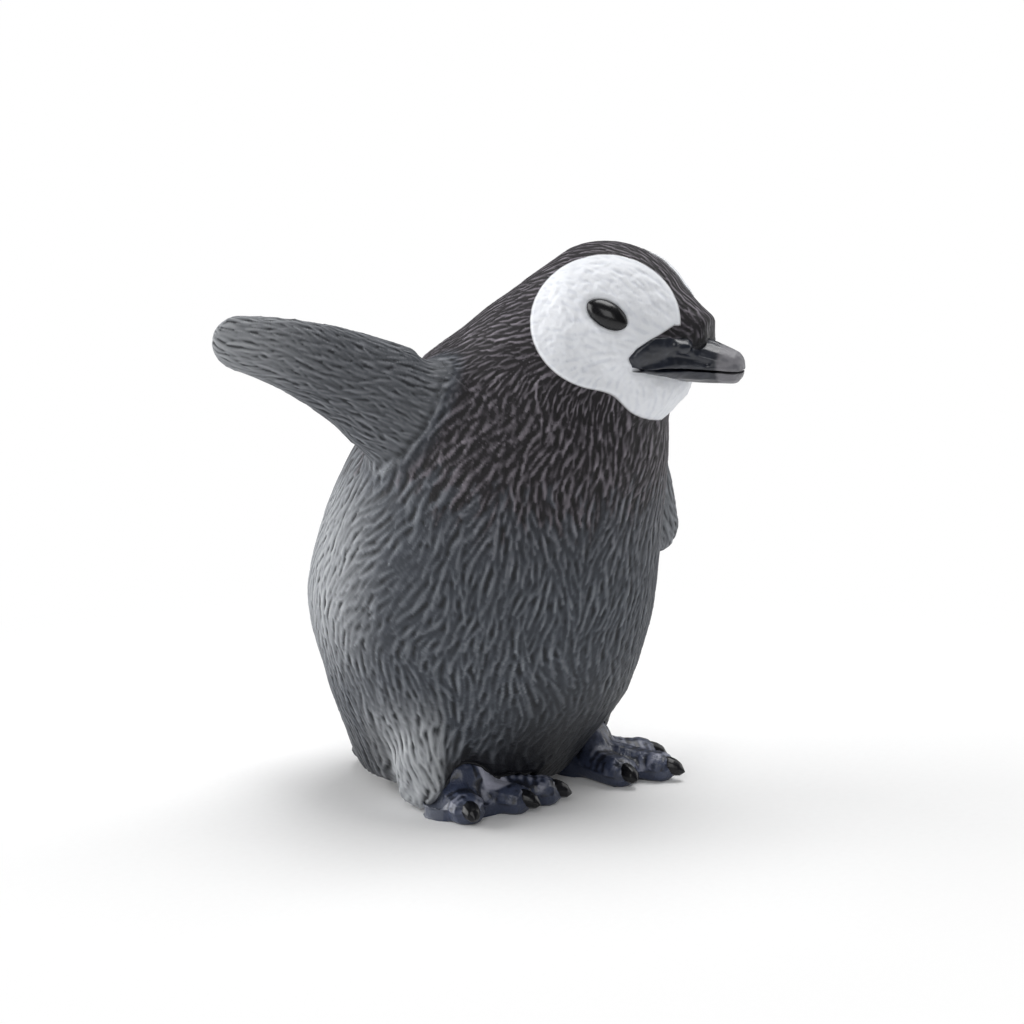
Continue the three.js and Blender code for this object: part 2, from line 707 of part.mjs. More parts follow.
function torso() {
  const legs = legForm(RIGHT, RIGHT_ANKLE).add(legForm(LEFT, LEFT_ANKLE));
  const below = belowSeam(-JOINT_GAP / 2);
  const outside = bodyForm(0, SKIN).intersect(below).add(legs).add(tailForm());
  const bosses = outOf(rightFlipperGroup, shoulderBoss()).add(
    outOf(leftFlipperGroup, shoulderBoss()),
  );
  const lining = bodyForm(-WALL, LINING).intersect(belowSeam(-WALL));
  const hollow = lining.subtract(legs).subtract(bosses);
  const neckHole = alongSeamNormal(-2 * SPIGOT_LENGTH, WALL, SPIGOT_RADIUS + JOINT_GAP);
  return outside
    .subtract(hollow)
    .subtract(neckHole)
    .subtract(outOf(rightFlipperGroup, shoulderPeg(JOINT_GAP)))
    .subtract(outOf(leftFlipperGroup, shoulderPeg(JOINT_GAP)))
    .subtract(outOf(rightFootGroup, footForm(RIGHT, JOINT_GAP)))
    .subtract(outOf(leftFootGroup, footForm(LEFT, JOINT_GAP)));
}

// Materials and meshes

function plastic(color, roughness) {
  return new THREE.MeshStandardMaterial({ color, roughness, metalness: 0 });
}
const greyDown = plastic(0x62676b, 0.75);
const darkDown = plastic(0x3a3537, 0.72);
const whiteDown = plastic(0xd8dbe2, 0.7);
const blackGloss = plastic(0x15151a, 0.25);
const footSkin = plastic(0x2b2d38, 0.35);

function piece(name, manifold, material) {
  const mesh = new THREE.Mesh(geometryOf(manifold), material);
  mesh.name = name;
  return mesh;
}

const figure = new THREE.Group();
figure.add(piece('torso', torso(), greyDown));
figure.add(headGroup, rightFlipperGroup, leftFlipperGroup, rightFootGroup, leftFootGroup);

headGroup.add(piece('head', head(), darkDown));
headGroup.add(piece('face_mask', faceMask(), whiteDown));
headGroup.add(piece('eye_right', eyeForm(RIGHT, 0), blackGloss));
headGroup.add(piece('eye_left', eyeForm(LEFT, 0), blackGloss));
headGroup.add(piece('upper_beak', beakForm(0).intersect(mouthHalf(1)), blackGloss));
headGroup.add(piece('lower_beak', beakForm(0).intersect(mouthHalf(-1)), blackGloss));

rightFlipperGroup.add(piece('flipper_right', flipper(rightFlipperGroup), darkDown));
leftFlipperGroup.add(piece('flipper_left', flipper(leftFlipperGroup), darkDown));

rightFootGroup.add(piece('foot_right', foot(RIGHT), footSkin));
leftFootGroup.add(piece('foot_left', foot(LEFT), footSkin));
TOES[RIGHT].forEach((toe) => {
  rightFootGroup.add(piece(`claw_right_${toe.name}`, clawForm(RIGHT, toe, 0), blackGloss));
});
TOES[LEFT].forEach((toe) => {
  leftFootGroup.add(piece(`claw_left_${toe.name}`, clawForm(LEFT, toe, 0), blackGloss));
});

// The part's origin is the middle of the box around the figure, on the ground.
figure.updateMatrixWorld(true);
const box = new THREE.Box3().setFromObject(figure, true);
const middle = box.getCenter(new THREE.Vector3());
figure.position.set(-middle.x, -middle.y, -box.min.z);

const part = new THREE.Group();
part.add(figure);

export default part;
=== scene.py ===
# %% [markdown]
# # A penguin chick moulded in vinyl
# The figure is a palm-sized toy. Its fluff is not fur: it is down that a sculptor combed into wax, and that
# was then moulded and painted. So everything here is solid, and the strands are real ridges in the mesh.
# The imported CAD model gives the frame: places, sizes and joints. Each step below dresses some of its nodes.

# %% Load the frame
import math

import bmesh
import bpy
import numpy as np
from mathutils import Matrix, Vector, noise
from mathutils.bvhtree import BVHTree
from mathutils.kdtree import KDTree


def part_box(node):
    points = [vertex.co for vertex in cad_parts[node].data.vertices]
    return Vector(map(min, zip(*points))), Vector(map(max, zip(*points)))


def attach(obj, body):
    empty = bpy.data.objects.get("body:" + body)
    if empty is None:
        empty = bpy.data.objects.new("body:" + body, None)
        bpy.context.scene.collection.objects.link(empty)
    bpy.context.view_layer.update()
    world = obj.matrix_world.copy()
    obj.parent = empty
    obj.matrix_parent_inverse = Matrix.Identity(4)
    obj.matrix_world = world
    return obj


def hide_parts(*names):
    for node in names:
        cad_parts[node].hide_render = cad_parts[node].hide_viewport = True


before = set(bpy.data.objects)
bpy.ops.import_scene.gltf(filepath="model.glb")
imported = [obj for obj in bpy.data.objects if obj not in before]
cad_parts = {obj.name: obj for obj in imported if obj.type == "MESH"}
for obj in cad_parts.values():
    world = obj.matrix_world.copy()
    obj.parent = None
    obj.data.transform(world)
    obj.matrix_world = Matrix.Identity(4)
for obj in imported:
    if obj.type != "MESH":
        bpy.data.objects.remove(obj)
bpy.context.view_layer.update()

# %% [markdown]
# ## Landmarks
# Sculpting is easier in millimetres, so meshes are shaped in millimetres and scaled to metres at the end.
# Two frames are handy: the upright axis of the torso, and the head with its own forward direction. The head
# looks a little to the chick's left. The torso's box gives the axis, because its belly is its widest part.

# %% Landmarks of the figure
MM = 0.001
BELLY_DEPTH = 24.6
torso_low, torso_high = (np.array(corner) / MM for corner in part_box("torso"))
AXIS = np.array([(torso_low[0] + torso_high[0]) / 2, torso_high[1] - BELLY_DEPTH, 0])
HEAD_CENTRE = AXIS + [2, -19.3, 65.9]
HEAD_TURN = math.radians(13)
HEAD_FORWARD = np.array([math.sin(HEAD_TURN), -math.cos(HEAD_TURN), 0])
HEAD_LEFT = np.array([math.cos(HEAD_TURN), math.sin(HEAD_TURN), 0])


def in_head(points):
    """Forward, left and up of each point, measured from the middle of the skull."""
    away = points - HEAD_CENTRE
    return away @ HEAD_FORWARD, away @ HEAD_LEFT, away[:, 2]


def smoothstep(low, high, value):
    share = np.clip((value - low) / (high - low), 0, 1)
    return share * share * (3 - 2 * share)


print("torso axis, mm:", AXIS.round(2), "skull, mm:", HEAD_CENTRE.round(2))

# %% [markdown]
# ## Camera
# The photograph looks at the chick's right front, from a little above. A long lens keeps the figure from
# bulging. The aim is moved sideways instead of shifting the lens, so other views stay centred.

# %% Camera
AZIMUTH, ELEVATION = math.radians(-55), math.radians(12)
DISTANCE = 650 * MM
PIXELS_PER_MM = 7.194
camera_back = Vector((
    math.sin(AZIMUTH) * math.cos(ELEVATION),
    -math.cos(AZIMUTH) * math.cos(ELEVATION),
    math.sin(ELEVATION),
))
camera_right = Vector((math.cos(AZIMUTH), math.sin(AZIMUTH), 0))
camera_up = camera_back.cross(camera_right)
aim = Vector(AXIS + [0, 0, 40]) * MM + camera_right * 4.24 * MM - camera_up * 1.27 * MM
lens = bpy.data.cameras.new("photo_lens")
lens.sensor_width = 36
lens.lens = PIXELS_PER_MM / MM * 36 * DISTANCE / 1024
camera = bpy.data.objects.new("photo_camera", lens)
camera.location = aim + camera_back * DISTANCE
camera.rotation_euler = camera_back.to_track_quat("Z", "Y").to_euler()
bpy.context.collection.objects.link(camera)
bpy.context.scene.camera = camera
bpy.context.scene.view_settings.view_transform = "Standard"
print("lens:", round(lens.lens, 1), "mm at", DISTANCE, "m")

# %% [markdown]
# ## A way to write shader maths
# Paint on this figure is layered: a base coat, a dark wash in the grooves, a dry brush over the ridges. Each
# layer is a bit of maths on masks. One small class wraps a socket, so that maths reads as Python. Colours go
# through Mix nodes, because a Math node would turn them grey.

# %% Sockets as values
class Wire:
    """An output socket in a node tree. Sums with it add Math nodes to that tree."""

    def __init__(self, tree, socket=None):
        self.tree = tree
        self.socket = socket

    def node(self, kind, settings=None, sockets=None, output=0):
        """Any node: its settings are set first, then its sockets get values or links."""
        made = self.tree.nodes.new(kind)
        for name, value in (settings or {}).items():
            setattr(made, name, value)
        self.feed(made, sockets or {})
        return Wire(self.tree, made.outputs[output])

    def feed(self, made, sockets):
        for key, value in sockets.items():
            if isinstance(value, Wire):
                self.tree.links.new(value.socket, made.inputs[key])
            else:
                made.inputs[key].default_value = value

    def maths(self, operation, *values):
        return self.node("ShaderNodeMath", {"operation": operation}, dict(enumerate(values)))

    def __add__(self, other):
        return self.maths("ADD", self, other)

    def __sub__(self, other):
        return self.maths("SUBTRACT", self, other)

    def __rsub__(self, other):
        return self.maths("SUBTRACT", other, self)

    def __mul__(self, other):
        return self.maths("MULTIPLY", self, other)

    __radd__ = __add__
    __rmul__ = __mul__

    def step(self, low, high):
        """0 below low and 1 above high, with a soft change between."""
        ends = {"Value": self, "From Min": low, "From Max": high}
        return self.node("ShaderNodeMapRange", {"interpolation_type": "SMOOTHSTEP"}, ends)

    def tint(self, under, over):
        """The under colour where this is 0 and the over colour where it is 1."""
        return self.node("ShaderNodeMix", {"data_type": "RGBA"}, {0: self, 6: under, 7: over}, 2)

    def mask(self, name):
        """A number that the mesh holds at each of its points."""
        return self.node("ShaderNodeAttribute", {"attribute_name": name}, None, 2)

    def grain(self, scale, detail=2.0):
        """Soft noise, where this is the place on the piece."""
        return self.node("ShaderNodeTexNoise", None, {"Vector": self, "Scale": scale, "Detail": detail})

    def bump(self, strength, distance):
        """Fine bumps, where this is their height."""
        return self.node("ShaderNodeBump", None, {"Strength": strength, "Distance": distance, "Height": self})


def colour(code):
    """A colour from its six hex digits, as a paint chart gives it, made linear for the shader."""
    parts = [int(code[i : i + 2], 16) / 255 for i in (0, 2, 4)]
    return (*(p / 12.92 if p <= 0.04045 else ((p + 0.055) / 1.055) ** 2.4 for p in parts), 1)


def new_paint(name):
    """A material, the start of its maths, the place on the piece, and its shader."""
    material = bpy.data.materials.new(name)
    material.use_nodes = True
    start = Wire(material.node_tree)
    place = start.node("ShaderNodeTexCoord", output=3)
    return material, start, place, material.node_tree.nodes["Principled BSDF"]


print("mid grey as light:", round(colour("808080")[0], 3))

# %% [markdown]
# ## Studio
# The photograph has a plain white ground, a soft shadow and bright edges on the left: a white tent with most
# of its light from the sides and from behind. Area lamps give that light, and a weak one in front opens the
# shadows. The floor glows only for the camera, so it is white without lighting the figure, and it keeps part
# of its shading, so the shadow stays.

# %% Floor
bm = bmesh.new()
bmesh.ops.create_grid(bm, x_segments=8, y_segments=8, size=4)
floor_mesh = bpy.data.meshes.new("studio_floor")
bm.to_mesh(floor_mesh)
bm.free()
floor = bpy.data.objects.new("studio_floor", floor_mesh)
bpy.context.collection.objects.link(floor)

floor_paint, start, place, shader = new_paint("floor_paper")
distance = start.node("ShaderNodeVectorMath", {"operation": "LENGTH"}, {0: place}, 1)
seen = start.node("ShaderNodeLightPath", output=0)
paper = place.grain(900.0).tint(colour("f4f4f4"), colour("f8f8f8"))
start.feed(shader, {"Base Color": paper, "Roughness": 0.9})
glow = start.node("ShaderNodeEmission", None, {"Color": (1, 1, 1, 1), "Strength": 1.0})
share = seen * (0.04 + distance.step(0.04, 0.13) * 0.96)
body = Wire(start.tree, shader.outputs[0])
mixed = start.node("ShaderNodeMixShader", None, {0: share, 1: body, 2: glow})
start.feed(floor_paint.node_tree.nodes["Material Output"], {"Surface": mixed})
floor_mesh.materials.append(floor_paint)
print("floor:", len(floor_mesh.polygons), "faces")

# %% Lamps and surroundings
def softbox(name, azimuth, elevation, reach, size, power):
    """A square lamp that faces the figure, seen from it at these angles."""
    lamp = bpy.data.lights.new(name, "AREA")
    lamp.shape = "SQUARE"
    lamp.size = size
    lamp.energy = power
    az, el = math.radians(azimuth), math.radians(elevation)
    away = Vector((math.sin(az) * math.cos(el), -math.cos(az) * math.cos(el), math.sin(el)))
    held = bpy.data.objects.new(name, lamp)
    held.location = aim + away * reach
    held.rotation_euler = away.to_track_quat("Z", "Y").to_euler()
    bpy.context.collection.objects.link(held)


softbox("side_wall_lamp", -155, 8, 0.55, 0.6, 4.2)
softbox("far_wall_lamp", 66, 22, 0.6, 0.5, 1.0)
softbox("roof_lamp", 95, 74, 0.6, 0.4, 2.8)
softbox("front_lamp", -60, 30, 0.9, 0.5, 1.9)

world = bpy.data.worlds.new("white_tent")
bpy.context.scene.world = world
world.use_nodes = True
start = Wire(world.node_tree)
sky = world.node_tree.nodes["Background"]
seen = start.node("ShaderNodeLightPath", output=0)
start.feed(sky, {"Color": (1, 1, 1, 1), "Strength": 0.13 + seen * 0.87})

# %% [markdown]
# ## From CAD solids to one skin
# The torso, head and flippers are separate mouldings that meet at fine joint lines, and the finished figure
# hides those lines under paint. A Boolean union could join the solids, but it would leave sharp creases. So
# they are swollen by more than half the joint gap, melted into one skin with a voxel remesh, and shrunk back.
# That also fills each inner corner with a small fillet, such as the one where a flipper leaves the shoulder.

# %% Helpers for meshes held as arrays
def unit(vectors):
    """The same directions with a length of 1."""
    return vectors / np.linalg.norm(vectors, axis=-1, keepdims=True).clip(1e-12)


def normals_of(points, triangles):
    """The way the surface faces at each point."""
    a, b, c = (points[triangles[:, k]] for k in range(3))
    face = np.cross(b - a, c - a)
    total = np.zeros_like(points)
    for axis in range(3):
        for k in range(3):
            total[:, axis] += np.bincount(triangles[:, k], face[:, axis], len(points))
    return unit(total)


def sides_of(triangles):
    """The three sides of each triangle, as pairs of points."""
    return np.concatenate([triangles[:, [k, (k + 1) % 3]] for k in range(3)])


def edges_of(triangles):
    """Every side once, whichever way round."""
    return np.unique(np.sort(sides_of(triangles), axis=1), axis=0)


def renumbered(triangles):
    """The points that these triangles use, and the triangles in terms of those points alone."""
    used, index = np.unique(triangles, return_inverse=True)
    return used, index.reshape(triangles.shape)


def smoothed(values, edges, rounds, strength=0.5):
    """Each value drawn towards the mean of its neighbours, some rounds over."""
    count = len(values)
    a, b = edges.T
    degree = (np.bincount(a, minlength=count) + np.bincount(b, minlength=count)).clip(1)
    values = values.copy()
    pull = np.broadcast_to(strength, count)
    for _ in range(rounds):
        for axis in range(values.shape[1]):
            column = values[:, axis]
            mean = np.bincount(a, column[b], count) + np.bincount(b, column[a], count)
            values[:, axis] += pull * (mean / degree - column)
    return values


def islands(pairs, count):
    """A number for each item, the same for all items that the pairs join."""
    home = np.arange(count)
    while True:
        a, b = home[pairs[:, 0]], home[pairs[:, 1]]
        low = np.minimum(a, b)
        found = home.copy()
        np.minimum.at(found, a, low)
        np.minimum.at(found, b, low)
        found = found[found]
        if (found == home).all():
            return home
        home = found


ONE_TRIANGLE = np.array([[0, 1, 2]])
print("edges of one triangle:", edges_of(ONE_TRIANGLE).tolist())

# %% Melt solids together
def melt(swell_of, voxel, also=None):
    """CAD nodes, each swollen by its own amount, as one closed skin: points in mm and triangles."""
    points, faces = [], []
    if also:
        points, faces = list(also[0]), also[1].tolist()
    for node, swell in swell_of.items():
        bm = bmesh.new()
        bm.from_mesh(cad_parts[node].data)
        bmesh.ops.remove_doubles(bm, verts=bm.verts[:], dist=1e-7)
        bm.normal_update()
        bm.verts.index_update()
        first = len(points)
        points += [vert.co / MM + vert.normal * swell for vert in bm.verts]
        faces += [[first + vert.index for vert in face.verts] for face in bm.faces]
        bm.free()
    mesh = bpy.data.meshes.new("melt")
    mesh.from_pydata(points, [], faces)
    lump = bpy.data.objects.new("melt", mesh)
    bpy.context.collection.objects.link(lump)
    voxels = lump.modifiers.new("voxels", "REMESH")
    voxels.mode = "VOXEL"
    voxels.voxel_size = voxel
    melted = lump.evaluated_get(bpy.context.evaluated_depsgraph_get()).to_mesh()
    found = np.empty(len(melted.vertices) * 3)
    melted.vertices.foreach_get("co", found)
    melted.calc_loop_triangles()
    corners = np.empty(len(melted.loop_triangles) * 3, np.int32)
    melted.loop_triangles.foreach_get("vertices", corners)
    bpy.data.objects.remove(lump)
    bpy.data.meshes.remove(mesh)
    return outer_island(found.reshape(-1, 3), corners.reshape(-1, 3))


def outer_island(points, triangles):
    """Only the largest connected surface, without what the melting left inside."""
    home = islands(edges_of(triangles), len(points))
    kinds, sizes = np.unique(home, return_counts=True)
    used, faces = renumbered(triangles[home[triangles[:, 0]] == kinds[sizes.argmax()]])
    return points[used], faces


def shrunk(points, triangles, depth, steps=3):
    """The skin moved inwards, in small steps that keep it smooth."""
    edges = edges_of(triangles)
    for _ in range(steps):
        points = smoothed(points, edges, 2)
        points = points - normals_of(points, triangles) * depth / steps
    return points


SWELL, SKIN_VOXEL = 1.2, 0.3
skin, skin_triangles = melt(
    {
        "torso": SWELL,
        "head": SWELL,
        "flipper_right": SWELL,
        "flipper_left": SWELL,
        "face_mask": SWELL - 0.25,
        "eye_right": SWELL - 0.9,
        "eye_left": SWELL - 0.9,
        "upper_beak": SWELL - 1,
        "lower_beak": SWELL - 1,
    },
    SKIN_VOXEL,
)
skin = shrunk(skin, skin_triangles, SWELL)
print("skin:", len(skin), "points,", len(skin_triangles), "triangles")

# %% [markdown]
# ## Which moulding a place belongs to
# Every point of the skin is given to the CAD node nearest to it. That lets the skin be parted again along
# the real joint lines, and it lets each part have its own kind of down. Neighbouring points then vote, which
# evens out the lines. Where the CAD model is facetted, or two solids meet in a sharp crease, the skin is
# smoothed: the broad forms a little, the nape and the roots of the flippers more.

# %% Sort the skin by node
DOWN_NODES = ["torso", "head", "flipper_right", "flipper_left"]
TORSO, HEAD, RIGHT_FLIPPER, LEFT_FLIPPER = range(4)
BOTH_FLIPPERS = RIGHT_FLIPPER, LEFT_FLIPPER
FACE_NODES = ["face_mask", "eye_right", "eye_left", "upper_beak", "lower_beak"]


def tree_of(nodes):
    """A search tree over the nodes' faces, and the position in the list that each face comes from."""
    points, faces, owner = [], [], []
    for position, node in enumerate(nodes):
        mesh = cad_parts[node].data
        first = len(points)
        points += [vert.co / MM for vert in mesh.vertices]
        faces += [[first + v for v in face.vertices] for face in mesh.polygons]
        owner += [position] * len(mesh.polygons)
    return BVHTree.FromPolygons(points, faces), np.array(owner)


def nearest(tree, points):
    """The nearest face and its distance, for each point."""
    found = [tree.find_nearest(point) for point in points]
    return np.array([f[2] for f in found]), np.array([f[3] for f in found])


node_tree, node_owner = tree_of(DOWN_NODES + FACE_NODES)
owner = node_owner[nearest(node_tree, skin)[0]]
owner[owner >= len(DOWN_NODES)] = HEAD
skin_edges = edges_of(skin_triangles)
votes = (owner[:, None] == np.arange(len(DOWN_NODES))).astype(float)
owner = smoothed(votes, skin_edges, 14).argmax(1)
beak_tree, _ = tree_of(["upper_beak", "lower_beak"])
print({node: int((owner == i).sum()) for i, node in enumerate(DOWN_NODES)})

# %% Smooth away the facets of the CAD model
def eased(points, triangles, weight, rounds):
    """The points smoothed only where the weight is above 0."""
    used, near = renumbered(triangles[(weight[triangles] > 0).any(1)])
    points = points.copy()
    points[used] = smoothed(points[used], edges_of(near), rounds, 0.5 * weight[used])
    return points


FAR = 99.0
from_beak = nearest(beak_tree, skin)[1]
broad = np.where(owner == TORSO, smoothstep(14, 20, skin[:, 2]), 0.0)
broad = np.where(owner == HEAD, smoothstep(1, 3, from_beak) * 0.6, broad)
broad = smoothed(broad[:, None], skin_edges, 12)[:, 0]
skin = smoothed(skin, skin_edges, 70, 0.5 * broad)
forward, left, up = in_head(skin)
nape = smoothstep(2, 6, -forward) * smoothstep(-14, -9, up) * (1 - smoothstep(9, 12, up)) * (owner <= HEAD)
skin = eased(skin, skin_triangles, nape, 420)
body_tree, _ = tree_of(["torso", "head"])
for place in BOTH_FLIPPERS:
    flipper_tree, _ = tree_of([DOWN_NODES[place]])
    near = np.full(len(skin), FAR)
    near[owner == place] = nearest(body_tree, skin[owner == place])[1]
    body = np.flatnonzero((owner <= HEAD) & (skin[:, 2] > 35))
    near[body] = nearest(flipper_tree, skin[body])[1]
    skin = eased(skin, skin_triangles, 1 - smoothstep(2.2, 4.6, near), 260)
left_flipper = skin[owner == LEFT_FLIPPER]
shoulder = left_flipper[left_flipper[:, 2].argmax()]
from_shoulder = np.linalg.norm(skin - shoulder, axis=1)
skin = eased(skin, skin_triangles, 1 - smoothstep(2.5, 5.5, from_shoulder), 200)
print("smoothed round the left shoulder:", int((from_shoulder < 5.5).sum()), "points")

# %% [markdown]
# ## Small forms that the sculpt adds
# Three places stand a little apart from the plain solids. The chin is flatter in front, so what sticks out
# there is pressed in. The down of the forehead comes forward over the root of the beak as a wedge. And on
# the outer side of the right leg the down hangs to the ground and covers the back end of the foot.

# %% Chin, forehead and leg
CHIN_FORWARD, CHIN_UP, CHIN_REACH, CHIN_SOFTNESS = 8.4, -7.2, 1.5, 3
FOREHEAD_TOP, FOREHEAD_SLOPE = 6.5, 0.56
LEG_HEM_SHIFT = [0, 2.2, 0.9]
GROUND_GAP = 0.35

forward, left, up = in_head(skin)
chin_front = HEAD_FORWARD * 0.7 - np.array([0, 0, 0.7])
past = (forward - CHIN_FORWARD) * 0.7 - (up - CHIN_UP) * 0.7 - CHIN_REACH
past = np.where(owner == HEAD, past, 0).clip(0) * smoothstep(-3, -6, up) * smoothstep(2, 6, forward)
skin = skin - np.outer(past - past / (1 + past / CHIN_SOFTNESS), chin_front)

wedge = FOREHEAD_SLOPE * (FOREHEAD_TOP - up).clip(0) * (1 - smoothstep(1, 5.5, np.abs(left)))
wedge *= smoothstep(8, 11, forward) * (1 - smoothstep(12.9, 14.8, forward)) * smoothstep(-2.2, -0.9, up)
skin = skin + np.outer(wedge * (owner == HEAD), HEAD_FORWARD)

hem = smoothstep(-14.5, -17.5, skin[:, 0]) * smoothstep(8.5, 5.5, skin[:, 1])
hem *= (1 - smoothstep(2, 8, skin[:, 2])) * (owner == TORSO)
skin = skin - np.outer(hem, LEG_HEM_SHIFT)
skin[:, 2] = np.maximum(skin[:, 2], GROUND_GAP)
skin = smoothed(skin, skin_edges, 6)
skin_normals = normals_of(skin, skin_triangles)
print("skin box, mm:", skin.min(0).round(2), skin.max(0).round(2))

# %% [markdown]
# ## Combing the down
# A sculptor lays the down strand by strand. Blender's hair would look like fur, so the strands are raised
# from the mesh instead, as they stand in wax. A seeded random generator drops strand roots over the skin
# with an even spacing, and each strand follows the comb: straight down the breast, down and back over the
# flanks, back over the skull from the beak, and out along the flippers. The strands are long and coarse on
# the body, and short and fine on the head and the flippers.

# %% Where strands go and how they lie
rng = np.random.default_rng(11)


def search_of(points):
    """A search tree that finds what lies near a place."""
    search = KDTree(len(points))
    for i, point in enumerate(points):
        search.insert(point, i)
    search.balance()
    return search


skin_search = search_of(skin)
away = skin - AXIS
reach = np.hypot(away[:, 0], away[:, 1]).clip(1e-6)
height = skin[:, 2]
flank = np.abs(away[:, 0]) / reach
ahead = -away[:, 1] / reach
neck = smoothstep(46, 60, height)
breast = smoothstep(0.3, 0.8, ahead) * smoothstep(24, 34, height)
strand_width = 0.96 - 0.04 * breast - 0.2 * neck
strand_length = 4.3 - 0.5 * breast - 1.4 * neck
strand_height = 0.42 - 0.04 * breast - 0.08 * neck
finer = {HEAD: (0.78, 3.0, 0.23), RIGHT_FLIPPER: (0.75, 3.4, 0.22), LEFT_FLIPPER: (0.75, 3.4, 0.22)}
for place, (width, length, tall) in finer.items():
    blend = (owner == place).astype(float)
    if place == HEAD:
        blend *= smoothstep(57, 66, height)
    strand_width = strand_width * (1 - blend) + width * blend
    strand_length = strand_length * (1 - blend) + length * blend
    strand_height = strand_height * (1 - blend) + tall * blend
strand_height = strand_height * smoothstep(0.6, 4, from_beak)

spacing = np.where(owner == TORSO, 0.43, 0.38) * np.sqrt(strand_width * strand_length)
free = np.ones(len(skin), bool)
roots = []
for i in rng.permutation(len(skin)):
    if free[i]:
        roots.append(i)
        free[[j for _, j, _ in skin_search.find_range(skin[i], spacing[i])]] = False
roots = np.array(roots)
print("strands:", len(roots))

# %% Comb direction at each strand
def lumps(points, size):
    """Soft lumps of about this size in mm, from -1 to 1 at each point."""
    return np.array([noise.noise(Vector(point)) for point in points / size])


def flipper_axis(place):
    """From a flipper's root to its tip."""
    points = skin[owner == place]
    middle = points.mean(0)
    axis = np.linalg.svd(points[::20] - middle, full_matrices=False)[2][0]
    return axis * np.sign(axis @ (middle - AXIS - [0, 0, 54]))


sweep = 0.95 * flank[roots] ** 1.5 * smoothstep(16, 34, height[roots])
comb = np.stack([0 * sweep, sweep, -np.ones(len(roots))], 1)
comb[height[roots] < 4] += [0, 0.6, 0]
beak_root = HEAD_CENTRE + HEAD_FORWARD * 13 + [0, 0, -3]
over_head = unit(skin[roots] - beak_root)
blend = (smoothstep(57, 67, height[roots]) * (owner[roots] == HEAD))[:, None]
comb = comb * (1 - blend) + over_head * blend
for place in BOTH_FLIPPERS:
    comb[owner[roots] == place] = flipper_axis(place)
root_normals = skin_normals[roots]
comb = unit(comb - root_normals * (comb * root_normals).sum(1, keepdims=True))
swirl = lumps(skin[roots], 8)
turn = np.where(owner[roots] == TORSO, 0.75, 0.4) * swirl + rng.normal(0, 0.15, len(roots))
across = np.cross(root_normals, comb)
comb, across = (
    comb * np.cos(turn)[:, None] + across * np.sin(turn)[:, None],
    across * np.cos(turn)[:, None] - comb * np.sin(turn)[:, None],
)
print("comb turns by up to", round(float(np.degrees(np.abs(turn)).max())), "degrees")

# %% List the strands
strands = []
for k, i in enumerate(roots):
    strands.append({
        "middle": skin[i],
        "normal": root_normals[k],
        "along": comb[k],
        "across": across[k],
        "length": strand_length[i] * rng.uniform(0.75, 1.25),
        "width": strand_width[i] * rng.uniform(0.8, 1.25),
        "tall": strand_height[i] * rng.uniform(0.7, 1.1),
        "bend": rng.normal(0, 0.28) * strand_width[i],
        "tone": rng.uniform(0, 1),
    })
print("longest strand, mm:", round(max(strand["length"] for strand in strands), 2))

# %% Carve the strands
GROOVE_DEPTH = 0.2


def carve(points, normals):
    """The height of the strands over each point, with the tone and the sideways place of the strand there."""
    search = search_of(points)
    tall, tone, side = np.zeros(len(points)), np.full(len(points), 0.5), np.zeros(len(points))
    for strand in strands:
        near = [i for _, i, _ in search.find_range(strand["middle"], 0.58 * strand["length"])]
        if not near:
            continue
        near = np.array(near)
        off = points[near] - strand["middle"]
        share = off @ strand["along"] / strand["length"] + 0.5
        inside = (share > 0) & (share < 1) & (normals[near] @ strand["normal"] > 0.3)
        near, off, share = near[inside], off[inside], share[inside]
        sideways = off @ strand["across"] - strand["bend"] * np.sin(2.6 * share)
        half = 0.5 * strand["width"] * np.sin(np.pi * share**0.8) ** 0.8 + 1e-4
        ridge = strand["tall"] * (1 - (sideways / half) ** 2) * (0.55 + 0.45 * share)
        wins = ridge > tall[near]
        tall[near[wins]] = ridge[wins]
        tone[near[wins]] = strand["tone"]
        side[near[wins]] = sideways[wins]
    return tall, tone, side


def relief(points, normals, edges, usual_height, finer):
    """Four columns: how far strands lift each point, how it stands among its neighbours, tone and side."""
    tall, tone, side = carve(points, normals)
    tall, tone = smoothed(np.stack([tall, tone], 1), edges, 1 + finer).T
    flat = smoothstep(0.8, 0.97, np.linalg.norm(smoothed(normals, edges, 40 * finer), axis=1))
    mean = smoothed(tall[:, None], edges, 12 * finer)[:, 0]
    rise = (tall - mean) / (0.17 * usual_height + 0.01)
    return np.stack([(tall - GROOVE_DEPTH) * flat, rise * flat, tone, side], 1)


skin_relief = relief(skin, skin_normals, skin_edges, strand_height, 1)
lifts = skin_relief[:, 0]
print("strands lift the skin by", lifts.min().round(2), "to", lifts.max().round(2), "mm")

# %% [markdown]
# ## Parting the skin into pieces
# The skin is cut along the joint lines into torso, head and flippers. Each open rim is turned inwards and
# closed, so that every piece is a closed body. Head and flippers are cut twice as fine as the torso, because
# their strands are finer. All pieces read the same strands, and near a joint the fine relief gives way to the
# relief of the whole skin, so a strand runs across the joint unbroken.

# %% Cut and refine
def part_of(points, normals, triangles):
    """Only the points that these triangles use."""
    used, faces = renumbered(triangles)
    return points[used], normals[used], faces


